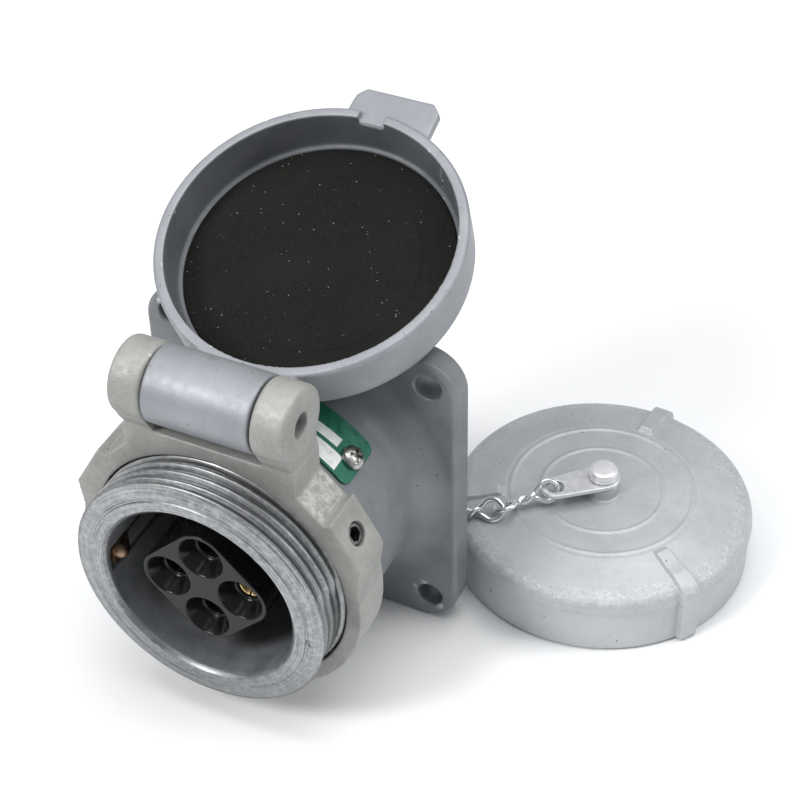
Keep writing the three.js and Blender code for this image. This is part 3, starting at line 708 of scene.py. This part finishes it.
def housing_section(angle):
    """Half section of the flange and body at an angle, as radius and y."""
    half, thick, corner, edge = FLANGE.half, FLANGE.thick, FLANGE.corner, FLANGE.edge
    outer = square_reach(angle, half, corner)
    inner = square_reach(angle, half - edge, corner - edge)
    bore = BARREL.mouth_r + 2
    chamber = BARREL.chamber_r
    back = round_corners([(bore, BARREL.split), (bore, WEB.front), (WEB.bore_r, WEB.front),
                          (WEB.bore_r, WEB.back), (chamber, WEB.back), (chamber, 0),
                          (inner, 0)], 0.6)
    arc = [radians(a) for a in (0, 15, 30, 45, 60, 75, 90)]
    rear_edge = [(inner + (outer - inner) * sin(a), -edge * (1 - cos(a))) for a in arc[1:]]
    front_edge = [(inner + (outer - inner) * cos(a), -thick + edge * (1 - sin(a))) for a in arc]
    top = BARREL.r + BARREL.fillet
    first = asin(max(0, (top - inner) / BARREL.fillet))
    fillet = []
    for i in range(17):
        a = first + (pi / 2 - first) * i / 16
        fillet.append((top - BARREL.fillet * sin(a), -thick - BARREL.fillet * (1 - cos(a))))
    face = resample([(inner, -thick), *fillet], 26)[1:]
    straight = resample([face[-1], (BARREL.r, BARREL.split)], 16)[1:]
    return back + rear_edge + front_edge + face + straight


def make_housing(paint):
    body = turned("housing_body", housing_section, 360)
    r, hole = FLANGE.hole_r, FLANGE.hole
    profile = [(0, -9), (r + 1.4, -9), (r, -7.5), (r, -0.5), (r + 1, 0.5), (0, 0.5)]
    for x in (-hole, hole):
        for z in (-hole, hole):
            cut(body, lathe("hole", profile, "Y", 0.25, 48, (x, 0, z)))
    for side in (-1, 1):
        drill(body, 1.8, 31, 40, radial_frame(90 + side * PLATE.screw_angle, PLATE.middle))
    finish_piece(body, paint, nodes=["housing"])


def thread_radius(angle, y):
    """Outside radius of the threaded mouth, with the thread milled away over one stretch."""
    bearing = (degrees(angle) + 180) % 360 - 180
    phase = (y - THREAD.start) / THREAD.pitch + angle / TURN
    wave = abs(2 * (phase % 1) - 1)
    groove = min(1, max(0, (wave - 0.16) / 0.66))
    ends = smooth_step(y, THREAD.start + 0.6, THREAD.start - 0.6)
    ends *= smooth_step(y, THREAD.end - 0.7, THREAD.end + 0.5)
    milled = smooth_step(bearing, *MILLED.fade_in) * smooth_step(bearing, *MILLED.fade_out)
    depth = THREAD.depth * ends * (groove * (1 - milled) + milled * (MILLED.base + MILLED.trace * groove))
    wear = 0.05 * noise.noise(Vector((cos(angle) * 16, y * 0.7, sin(angle) * 16)))
    return BARREL.r - depth + wear * ends


def mouth_section(angle):
    r, front, mouth = BARREL.r, BARREL.front, BARREL.mouth_r
    bearing = (degrees(angle) + 180) % 360 - 180
    back, tip = THREAD.band
    levels = [back + (tip - back) * i / THREAD.steps for i in range(THREAD.steps + 1)]
    outside = [(thread_radius(angle, y), y) for y in levels]
    lip = round_corners([(34.2, tip), (33.6, front + 0.85), (30.9, front + 0.1), (30.6, front + 0.4),
                         (30.1, front + 0.4), (29.9, front), (mouth + 1.1, front), (mouth, front + 1.1)], 0.2)
    dented = []
    for radius, y in lip:
        away = hypot(radius - 31, radians(bearing + 5) * 31)
        dented.append((radius, y + 0.7 * smooth_step(away, 1.5, 0.4)))
    bore = []
    for i in range(1, 61):
        y = front + 1.1 + (WEB.front - 0.2 - front - 1.1) * i / 60
        nub = smooth_step(abs(bearing - 47.7), 3.2, 1.6) * smooth_step(y, -58.6, -60)
        window = smooth_step(abs(abs(bearing) - 180), 8.4, 7.4)
        window *= smooth_step(y, -61.6, -61.2) * smooth_step(y, -28, -29)
        bore.append((mouth - 1.4 * nub + 1.3 * window, y))
    split = BARREL.split
    tail = [(mouth + 1.9, WEB.front - 0.2), (mouth + 1.9, split), (r, split), (r, -48.6)]
    return outside + dented + bore + tail


def make_mouth(metal_look, bore_look):
    mouth = turned("threaded_mouth", mouth_section, 432)

    def painted(x, y, z):
        return hypot(x, z) < BARREL.mouth_r + 2.2 and y > BARREL.front + 1.3

    two_coats(mouth, metal_look, bore_look, painted)
    finish_piece(mouth, None, nodes=["housing"], even=False)


# ---- Insulators, contacts and terminals -------------------------------------
def contact_places():
    r = BOSS.pitch_r
    return [(r * cos(k * TURN / 4), r * sin(k * TURN / 4)) for k in range(4)]


def lobed_outline(radius):
    """Four round lobes joined by straight flanks."""
    points = []
    for k, (x, z) in enumerate(contact_places()):
        for i in range(13):
            a = radians(k * 90 - 45 + 90 * i / 12)
            points.append((x + radius * cos(a), z + radius * sin(a)))
    return points


def make_insulators(resin, screw_look):
    front = prism("front_insulator", lobed_outline(BOSS.lobe_r), BOSS.front, BOSS.base + 2)
    join(front, rod("base", BOSS.base_r, BOSS.base, WEB.front - GAP))
    for x, z in contact_places():
        top, bore, well = BOSS.front, WELL.bore_r, WELL.r
        funnel = [(0, top - 1), (well + 0.7, top - 1), (well, top + 0.1), (bore + 0.5, top + 4.5),
                  (bore, top + 4.6), (bore, top + 40), (0, top + 40)]
        cut(front, lathe("well", funnel, "Y", 0, 48, (x, 0, z)))
    cast_skin(front, 0.23, 2)
    finish_piece(front, resin, even=False)
    rear = rod("rear_insulator", REAR.r, REAR.front, REAR.back, corner=0.8, segments=96)
    for x, z in contact_places():
        cut(rear, rod("bore", WELL.bore_r, -30, 0, "Y", (x, 0, z)))
    bevel(rear, 0.2, 2)
    finish_piece(rear, resin)
    for i, a in enumerate((45, 225)):
        place = stand("Y", REAR.screw_r, radians(a), REAR.back + GAP)
        turn = Matrix.Translation(place) @ about("X", -90)
        fastener(f"insulator_screw_{i + 1}", turn, 2.6, 1.9, 1.6, 16, "slot", screw_look)


def fastener(name, turn, head_r, head, shank_r, shank, drive, material, dome=0.5, body="housing"):
    """A screw drawn with its head's seat at the origin and its head along +Z."""
    profile = [(0, -shank), (shank_r, -shank), (shank_r, 0), (head_r, 0), (head_r, head * dome)]
    for a in (20, 40, 60, 80):
        t = radians(a)
        profile.append((head_r * cos(t), head * (dome + (1 - dome) * sin(t))))
    screw = lathe(name, [*profile, (0, head)], "Z", 0.15, 48)
    if drive == "slot":
        cut(screw, box("slot", (-head_r * 1.2, -0.4, head * 0.45), (head_r * 1.2, 0.4, head * 1.5)))
    if drive == "cross":
        wide, arm = head_r * 0.16, head_r * 0.6
        cross = box("cross", (-arm, -wide, head * 0.3), (arm, wide, head * 1.5))
        join(cross, box("bar", (-wide, -arm, head * 0.3), (wide, arm, head * 1.5)))
        cut(screw, cross)
    bevel(screw, 0.07, 2)
    screw.data.transform(turn)
    return finish_piece(screw, material, body)


def make_contacts(brass_look, steel_look):
    r, socket, back, tail = CONTACT.r, CONTACT.socket_r, CONTACT.back, CONTACT.tail
    for i, (x, z) in enumerate(contact_places()):
        front = CONTACT.front + (0 if i == 0 else 2.6)
        seat = REAR.back + GAP
        mouth = [(0, front + 20), (socket, front + 20), (socket, front + 1), (socket + 0.6, front)]
        profile = [*mouth, (r, front), (r, seat), (r + 0.9, seat), (r + 0.9, back), (2, back), (2, tail)]
        profile.append((0, tail))
        contact = lathe(f"contact_{i + 1}", profile, "Y", 0.2, 48, (x, 0, z))
        for half in ((r + 1, 0.25), (0.25, r + 1)):
            low = (x - half[0], front - 1, z - half[1])
            cut(contact, box("slit", low, (x + half[0], front + 9, z + half[1])))
        finish_piece(contact, brass_look)
        turn = radial_frame(i * 90, back - 2.8) @ Matrix.Translation((0, 0, BOSS.pitch_r + 4.3))
        fastener(f"terminal_screw_{i + 1}", turn, 2, 1.6, 1.1, 3.2, "slot", steel_look)


def make_grounding(bronze_look, slate_look, green_look):
    wall = BARREL.mouth_r - 0.4
    strip = box("ground_contact", (-wall - 1.0, -60.8, -2.6), (-wall - 0.2, -53.4, 2.6))
    join(strip, box("tail", (-wall - 1.0, -54, -2.5), (-wall - 0.3, -32, 2.5)))
    bump = lathe("bump", [(0, -2.4), (1.6, -1.8), (2.4, 0), (1.6, 1.8), (0, 2.4)], "Y", 0.8, 48)
    bump.data.transform(Matrix.Translation((-wall + 0.1, -57.5, 0)))
    join(strip, bump)
    bevel(strip, 0.12, 2)
    # painted shade: the strip's tail, back along the channel, takes the dark bore paint
    two_coats(strip, bronze_look, slate_look, lambda x, y, z: y > -53.3)
    finish_piece(strip, None)
    inward = Matrix.Translation((0, 0, wall + 0.2)) @ Matrix.Rotation(pi, 4, "X")
    turn = radial_frame(180, -36) @ inward
    fastener("ground_contact_rivet", turn, 2.4, 1.2, 1.4, 1.1, "plain", slate_look)
    seat = Matrix.Translation((0, WEB.back + GAP, -23)) @ about("X", -90)
    bolt = bevel(prism("ground_screw", hexagon(3.6), 0, 2.9, "Z"), 0.35)
    join(bolt, rod("shank", 1.9, -2.7, 0.5, "Z"))
    bolt.data.transform(seat)
    finish_piece(bolt, green_look)


# ---- Nameplate --------------------------------------------------------------
def make_nameplate(plate_look, screw_look):
    inner = BARREL.r + GAP * 0.3
    length = PLATE.back - PLATE.front
    corner, rows, count = 2.4, 24, 120
    half = radians(PLATE.half_angle)
    columns = []
    for j in range(rows + 1):
        away = length * 0.5 * (1 - cos(pi * j / rows))
        edge = max(0, corner - min(away, length - away))
        extent = half - (corner - sqrt(corner**2 - edge**2)) / inner
        line = []
        for i in range(count + 1):
            a = pi / 2 + extent * (2 * i / count - 1)
            line.append((a, PLATE.front + away))
        columns.append(line)
    points, faces = [], []
    for radius in (inner, inner + PLATE.thick):
        points += [stand("Y", radius, a, y) for line in columns for a, y in line]
    layer = (rows + 1) * (count + 1)

    def at(j, i, top):
        return top * layer + j * (count + 1) + i

    for j in range(rows):
        for i in range(count):
            for top in (0, 1):
                faces.append((at(j, i, top), at(j, i + 1, top), at(j + 1, i + 1, top), at(j + 1, i, top)))
    for j in range(rows):
        for i in (0, count):
            faces.append((at(j, i, 0), at(j + 1, i, 0), at(j + 1, i, 1), at(j, i, 1)))
    for i in range(count):
        for j in (0, rows):
            faces.append((at(j, i, 0), at(j, i + 1, 0), at(j, i + 1, 1), at(j, i, 1)))
    plate = bevel(new_object("nameplate", points, faces), 0.12, 2)
    finish_piece(plate, plate_look)
    for i, side in enumerate((-1, 1)):
        seat = radial_frame(90 + side * PLATE.screw_angle, PLATE.middle)
        seat = seat @ Matrix.Translation((0, 0, inner + PLATE.thick + 0.1)) @ Matrix.Rotation(0.6, 4, "Z")
        fastener(f"nameplate_screw_{i + 1}", seat, 3.2, 2.2, 1.4, 3, "cross", screw_look, 0.25)


# ---- Collar -----------------------------------------------------------------
def collar_outline():
    """The collar's outline in X and Z: lugs' feet, bevelled shoulders, screw pads and a flat foot."""
    a = radians(PAD.angle)
    out, along = Vector((cos(a), sin(a))), Vector((-sin(a), cos(a)))
    pad_top = out * PAD.reach + along * PAD.half
    pad_end = out * PAD.reach - along * PAD.half
    notch = pad_top - out * PAD.step
    lug = HINGE.lug_out
    shoulder = Vector((lug, notch.y + notch.x - lug))
    side = [Vector((lug, HINGE.z - HINGE.r - 2)), shoulder, notch, pad_top, pad_end]
    for i in range(25):
        t = radians(10 - 84 * i / 24)
        side.append(Vector((cos(t), sin(t))) * COLLAR.r)
    foot = FLANGE.half
    side += [Vector((7.5, 1 - foot)), Vector((6.5, -foot))]
    return [tuple(p) for p in side] + [(-p.x, p.y) for p in reversed(side)]


def make_collar(casting, screw_look):
    top = HINGE.z - HINGE.r - 2
    collar = prism("hinge_collar", collar_outline(), COLLAR.front, COLLAR.back)
    hinge = (0, HINGE.y, HINGE.z)
    cheek = HINGE.r * 0.93
    for side in (-1, 1):
        x0, x1 = sorted((side * HINGE.lug_in, side * HINGE.lug_out))
        join(collar, rod("lug", HINGE.r, x0, x1, "X", hinge, 1.3, 96))
        outline = [(COLLAR.front, top - 2), (COLLAR.back, top - 2), (COLLAR.back, HINGE.z - 5.5),
                   (HINGE.y + cheek, HINGE.z - 3), (HINGE.y - cheek, HINGE.z - 3),
                   (COLLAR.front - 1.6, HINGE.z - 8.4), (COLLAR.front, HINGE.z - 11)]
        join(collar, prism("ear", outline, x0 + 0.4, x1 - 0.4, "X"))
        cut(collar, rod("pin_hole", HINGE.pin_r + 0.15, x0 - 1, x1 + 1, "X", hinge, 0))
    cut(collar, rod("bore", COLLAR.bore_r, -70, -30, "Y", corner=0, segments=192))
    for a in SET_SCREW_ANGLES:
        drill(collar, 3.05, 30, 50, radial_frame(a, COLLAR.middle))
    cast_skin(collar, 0.3, 5)
    finish_piece(collar, casting, even=False)
    for i, a in enumerate(SET_SCREW_ANGLES):
        reach = (FLANGE.half if a == 270 else PAD.reach) - 0.8
        screw = rod(f"set_screw_{i + 1}", 2.85, BARREL.r + GAP, reach, "Z", corner=0.5)
        cut(screw, prism("socket", hexagon(2), reach - 3, reach + 1, "Z"))
        bevel(screw, 0.12, 2)
        screw.data.transform(radial_frame(a, COLLAR.middle))
        finish_piece(screw, screw_look)


# ---- Door -------------------------------------------------------------------
DOOR_FRAME = Matrix.Translation((0, HINGE.y, HINGE.z))
DOOR_FRAME = DOOR_FRAME @ about("X", -DOOR_OPEN)


def make_door(paint, inner_shade_look, rubber_look):
    """The door and its gasket, drawn closed about the hinge axis and then laid back."""
    rim, r, wall, seat_r = DOOR.rim, DOOR.r, DOOR.wall_r, DOOR.gasket_r + GAP
    floor = rim - DOOR.deep
    pocket = floor - DOOR.gasket - GAP
    back = rim - DOOR.back
    centre = (0, 0, -HINGE.z)
    half = HINGE.lug_in - 0.35
    outside = [(0, rim), (r - 0.6, rim), (r, rim - 0.6), (r - 0.5, back + 2.6), (r - 1.3, back + 0.8),
               (r - 3.1, back), (0, back)]
    door = lathe("door", outside, "Y", 0.6, 192, centre)
    hugging = [(0, HINGE.r), (-HINGE.r * 0.94, HINGE.r * 0.34), (back, -HINGE.z + r - 5),
               (back, -HINGE.z + r - 9), (rim - 0.5, -HINGE.z + r - 2), (rim - 0.5, -HINGE.r * 0.84)]
    join(door, prism("arm", hugging, -half, half, "X"))
    join(door, rod("knuckle", HINGE.r, -half, half, "X", corner=0.4, segments=96))
    hollow = [(0, pocket), (seat_r, pocket), (seat_r, floor), (wall - 0.9, floor), (wall, rim + 1)]
    hollow.append((0, rim + 1))
    cut(door, lathe("hollow", hollow, "Y", 0, 192, centre))
    cut(door, rod("pin_hole", HINGE.pin_r + 0.15, -half - 1, half + 1, "X", corner=0))
    cut(door, rod("spring_room", 7, 3 - half, half - 3, "X", corner=0))
    low, thick, lip = -HINGE.z - r, TAB.thick, TAB.lip
    cut(door, box("notch", (-lip, rim - thick, low - 1), (lip, rim + 1, low + 4.5)))
    tab_end = low - TAB.reach
    outline = [(TAB.left, low + 2), (TAB.left + 0.4, tab_end + 2.4), (TAB.left + 2.6, tab_end),
               (TAB.right - 2.6, tab_end), (TAB.right - 0.2, tab_end + 2.4), (TAB.right, low + 2.6),
               (TAB.right - 4, low + 3.2), (TAB.left + 4, low + 3.2)]
    join(door, prism("tab", outline, rim - 2 * thick, rim - thick, "Y"))
    cast_skin(door, 0.34, 4)

    def inside(x, y, z):
        return hypot(x, z + HINGE.z) < wall + 0.25 and floor - 0.2 < y < rim - 0.5

    # painted shade: the cup's inner wall takes a darker copy of the door paint
    two_coats(door, paint, inner_shade_look, inside)
    door.data.transform(DOOR_FRAME)
    finish_piece(door, None, "door", even=False)
    base = floor - DOOR.gasket
    seal_r = DOOR.gasket_r
    profile = [(0, base), (seal_r, base), (seal_r, floor - 0.15), (33.6, floor), (33, floor - 0.22),
               (26.7, floor - 0.26), (26.1, floor), (12, floor + 0.03), (0, floor + 0.03)]
    gasket = lathe("door_gasket", profile, "Y", 0.35, 192, centre)
    gasket.data.transform(DOOR_FRAME)
    finish_piece(gasket, rubber_look, "door")


def make_hinge_pin(steel_look):
    hinge = (0, HINGE.y, HINGE.z)
    pin = rod("hinge_pin", HINGE.pin_r, 1 - HINGE.pin_half, HINGE.pin_half - 1, "X", hinge, 0.5)
    finish_piece(pin, steel_look)
    path = []
    for i in range(SPRING.coils * SPRING.steps + 1):
        along = (i / SPRING.steps - SPRING.coils / 2) * SPRING.pitch
        path.append(Vector(hinge) + Vector(stand("X", SPRING.r, TURN * i / SPRING.steps, along)))
    spring = sweep("torsion_spring", path, SPRING.wire_r, 10)
    finish_piece(spring, steel_look, even=False)


# ---- Cap --------------------------------------------------------------------
def cap_outline():
    """The cap's section from the middle of its top, down the side, and up inside, as radius and height."""
    r, high, bore, deep, parting = CAP.r, CAP.high, CAP.bore_r, CAP.deep, CAP.parting
    post = high + POST.high
    top = [(0, post), (POST.r, post), (POST.r, high), (RIB.inner, high), (r - 5.2, 18.5)]
    arc = [radians(a) for a in (75, 60, 45, 30, 15, 0)]
    shoulder = [(r - 4.3 + 4 * cos(a), parting + 0.35 + 4 * sin(a)) for a in arc]
    bead = [(r - 0.3, parting + 0.3), (r - 0.12, parting + 0.1), (r - 0.12, parting - 0.15)]
    bead.append((r - 0.5, parting - 0.4))
    side = [(r - 0.6, 0.8), (r - 1.2, 0)]
    inside = [(bore + 1, 0), (bore, 1.2), (bore, deep), (0, deep)]
    return round_corners([*top, shoulder[0]], 0.7) + shoulder[1:] + bead + side + inside


def dense(profile, longest):
    """The same line with extra points, so that no stretch is longer than given."""
    made = [profile[0]]
    for a, b in zip(profile, profile[1:]):
        pieces = max(1, ceil((Vector(b) - Vector(a)).length / longest))
        made += [tuple(Vector(a).lerp(Vector(b), k / pieces)) for k in range(1, pieces + 1)]
    return made


def cap_angles():
    """Angles round the cap, closer together at the ribs."""
    angles = [radians(2 * k) for k in range(180)]
    for rib in RIB.angles:
        angles += [radians(rib % 360 + 0.2 * k) for k in range(-35, 36)]
    rounded = sorted({round(a % TURN, 5) for a in angles})
    return [a for a, b in zip(rounded, rounded[1:] + [rounded[0] + TURN]) if b - a > 0.0015]


def rib_height(angle, radius, high):
    made = 0
    for rib in RIB.angles:
        turn = angle - radians(rib)
        if cos(turn) < 0:
            continue
        away = abs(radius * sin(turn))
        t = (radius - RIB.inner) / (CAP.r - RIB.inner)
        half = RIB.half_in + (RIB.half_out - RIB.half_in) * t
        made = max(made, smooth_step(away, half + 0.3, half - 0.35))
    proud = RIB.high + 0.5 * smooth_step(radius, 33, 38)
    return proud * made * smooth_step(radius, RIB.inner, RIB.inner + 1.6) * smooth_step(high, 0.35, 0.9)


def make_cap(paint, seal_look, zinc_look):
    profile = dense(cap_outline(), 0.42)
    turning = max(range(len(profile)), key=lambda k: profile[k][0])
    foot = min(range(len(profile)), key=lambda k: (profile[k][1], -profile[k][0]))
    normals = []
    for k in range(len(profile)):
        a, b = profile[max(k - 1, 0)], profile[min(k + 1, len(profile) - 1)]
        along = (Vector(b) - Vector(a)).normalized()
        normals.append(Vector((-along.y, along.x)))
    columns = []
    for angle in cap_angles():
        column = []
        for k, (radius, high) in enumerate(profile):
            rise = 0
            if k <= foot and radius > 6:
                rise = rib_height(angle, radius, high)
                for ring in CAP.rings:
                    if k < turning and high > 18:
                        rise = max(rise, CAP_RING_HIGH * smooth_step(abs(radius - ring), 0.75, 0.1))
            if k > foot and abs(radius - CAP.bore_r) < 0.02:
                crest = 0.5 + 0.5 * cos(TURN * (high / THREAD.pitch - angle / TURN))
                ends = smooth_step(high, 1.2, 2.2) * smooth_step(high, 12.5, 11.5)
                rise = 0.55 * smooth_step(crest, 0.3, 0.9) * ends
                column.append(stand("Z", radius - rise, angle, high))
                continue
            moved = Vector((radius, high)) + normals[k] * rise if rise else Vector((radius, high))
            column.append(stand("Z", moved.x, angle, moved.y))
        columns.append(column)
    cap = skin("cap", columns, False)
    finish_piece(cap, paint, "cap", origin=CAP_FOOT, even=False)
    deep, bore = CAP.deep - GAP, CAP.bore_r - 0.8
    seal = rod("cap_gasket", bore, deep - CAP.seal, deep, "Z", corner=0.4, segments=128)
    finish_piece(seal, seal_look, "cap", origin=CAP_FOOT)
    top = CAP.high + POST.high
    seat = top + GAP + CLIP.thick + GAP * 0.5
    head_r, crown = POST.head_r, seat + POST.head
    profile = [(0, top - 4), (POST.shank_r, top - 4), (POST.shank_r, seat), (head_r, seat),
               (head_r, crown - 0.9), (head_r - 0.35, crown - 0.25), (head_r - 1.1, crown), (0, crown + 0.1)]
    rivet = lathe("cap_rivet", profile, "Z", 0.2, 96)
    finish_piece(rivet, zinc_look, "cap", origin=CAP_FOOT)


def tapered_outline(r0, r1, reach, steps=24):
    """The outline round two circles of different size, the second at (reach, 0)."""
    lean = asin((r0 - r1) / reach)
    points = []
    for i in range(steps + 1):
        a = pi / 2 - lean + (i / steps) * (pi + 2 * lean)
        points.append((r0 * cos(a), r0 * sin(a)))
    for i in range(steps + 1):
        a = -pi / 2 + lean + (i / steps) * (pi - 2 * lean)
        points.append((reach + r1 * cos(a), r1 * sin(a)))
    return points


def make_clip(zinc_look):
    low = CAP.high + POST.high + GAP
    outline = tapered_outline(CLIP.big_r, CLIP.small_r, CLIP.reach)
    clip = prism("chain_clip", outline, low, low + CLIP.thick, "Z")
    cut(clip, rod("rivet_hole", POST.shank_r + 0.2, low - 2, low + 4, "Z", corner=0))
    cut(clip, rod("link_hole", CLIP.hole_r, low - 2, low + 4, "Z", (CLIP.reach, 0, 0), 0))
    bevel(clip, 0.28, 3)
    clip.data.transform(about("Z", CLIP.angle))
    finish_piece(clip, zinc_look, "clip", origin=CAP_FOOT)


# ---- Chain ------------------------------------------------------------------
def chain_pivots():
    a = radians(CLIP.angle)
    reach = CLIP.reach + 0.4
    high = -FLANGE.half + CAP.high + POST.high + GAP + CLIP.thick / 2
    places = [Vector((CAP_PLACE.x + reach * cos(a), CAP_PLACE.y + reach * sin(a), high))]
    for heading, drop, _roll in CHAIN_LEGS:
        h, d = radians(heading), radians(drop)
        step = Vector((cos(h) * cos(d), sin(h) * cos(d), -sin(d)))
        places.append(places[-1] + step * LINK.pitch)
    return places


def link_path():
    """The bent wire of one link: an upright loop and a flat loop, joined by a twisted waist."""
    loop, half, lead, waist, twist = LINK.loop_r, LINK.span / 2, 38, 2.7, 270
    sweep_angle = 360 - 2 * lead
    upright, flat, out, home = [], [], [], []
    for i in range(25):
        a = radians(-lead - sweep_angle * i / 24)
        upright.append((-half + loop * cos(a), 0, loop * sin(a)))
        a = radians(180 - lead - sweep_angle * i / 24)
        flat.append((half + loop * cos(a), loop * sin(a), 0))
    for i in range(13):
        x, a = waist * (i / 6 - 1), radians(90 - twist * i / 12)
        out.append((x, LINK.twist_r * cos(a), LINK.twist_r * sin(a)))
        home.insert(0, (x, -LINK.twist_r * cos(a), -LINK.twist_r * sin(a)))
    return smooth_loop([Vector(p) for p in [*upright, *out, *flat, *home]], 3)


def smooth_loop(points, steps):
    """A closed Catmull-Rom curve through the points."""
    made = []
    count = len(points)
    for i in range(count):
        a, b, c, d = (points[(i + k) % count] for k in (-1, 0, 1, 2))
        for k in range(steps):
            t = k / steps
            bend = (2 * a - 5 * b + 4 * c - d) * t**2 + (3 * b - a - 3 * c + d) * t**3
            made.append(0.5 * (2 * b + (c - a) * t + bend))
    return made


def make_chain(zinc_look):
    pivots = chain_pivots()
    for i, (heading, drop, roll) in enumerate(CHAIN_LEGS):
        link = sweep(f"chain_link_{i + 1}", link_path(), LINK.wire_r, 16, closed=True)
        turn = about("Z", heading) @ about("Y", drop)
        turn = turn @ about("X", 90 - roll)
        link.data.transform(Matrix.Translation((pivots[i] + pivots[i + 1]) / 2) @ turn)
        finish_piece(link, zinc_look, f"link_{i + 1}", even=False)


def make_eyelet(zinc_look, steel_look):
    carry_node("chain_eyelet", zinc_look, 0.15)
    carry_node("eyelet_nut", steel_look, 0.25)
    place = Vector((-FLANGE.hole, -FLANGE.thick - GAP, -FLANGE.hole))
    seat = Matrix.Translation(place) @ about("X", 90)
    fastener("eyelet_screw", seat, 4.6, 2.6, 2, 14, "slot", steel_look)


def make_floor():
    size = 3.0
    mesh = bpy.data.meshes.new("floor")
    corners = [(-size, -size, 0), (size, -size, 0), (size, size, 0), (-size, size, 0)]
    mesh.from_pydata(corners, [], [(0, 1, 2, 3)])
    floor = bpy.data.objects.new("floor", mesh)
    floor.location.z = -0.0002
    mesh.materials.append(floor_look())
    put_in_scene(floor)


def make_object():
    housing_paint = aluminium_paint("housing_paint", (0.212, 0.223, 0.234), (0.171, 0.18, 0.191))
    door_paint = aluminium_paint("door_paint", (0.307, 0.316, 0.337), (0.26, 0.27, 0.288), grain=0.6)
    zinc = metal("bright_zinc", (0.72, 0.73, 0.75), (0.9, 0.91, 0.93), 0.24, metallic=0.9)
    rivet_zinc = metal("rivet_zinc", (0.84, 0.84, 0.85), (0.94, 0.94, 0.95), 0.35, metallic=0.55)
    strap = metal("strap_zinc", (0.72, 0.72, 0.74), (0.86, 0.86, 0.88), 0.4, metallic=0.75)
    steel = metal("plain_steel", (0.36, 0.35, 0.33), (0.56, 0.55, 0.53), 0.32)
    dark_steel = metal("dark_steel", (0.10, 0.10, 0.10), (0.22, 0.215, 0.21), 0.38)
    brass = metal("brass", (0.60, 0.43, 0.17), (0.80, 0.62, 0.30), 0.3)
    bronze = metal("bronze", (0.22, 0.14, 0.09), (0.45, 0.33, 0.23), 0.4)
    green_steel = metal("green_screw", (0.03, 0.17, 0.06), (0.06, 0.27, 0.10), 0.4, metallic=0.4)
    resin, seal = black_resin(), rubber()
    make_housing(housing_paint)
    slate = slate_paint()
    make_mouth(machined(), slate)
    make_insulators(resin, steel)
    make_contacts(brass, steel)
    make_grounding(bronze, slate, green_steel)
    make_nameplate(nameplate_look(), steel)
    make_collar(raw_casting(), dark_steel)
    # painted shade: a darker copy of the door paint for the cup's inner wall
    inner_shade_paint = aluminium_paint("door_inner_shade_paint", (0.15, 0.158, 0.167), (0.11, 0.117, 0.125), 0.2)
    make_door(door_paint, inner_shade_paint, seal)
    make_hinge_pin(dark_steel)
    make_cap(cap_paint(), seal, rivet_zinc)
    make_clip(strap)
    make_chain(zinc)
    make_eyelet(strap, steel)


make_studio()
make_floor()
make_object()
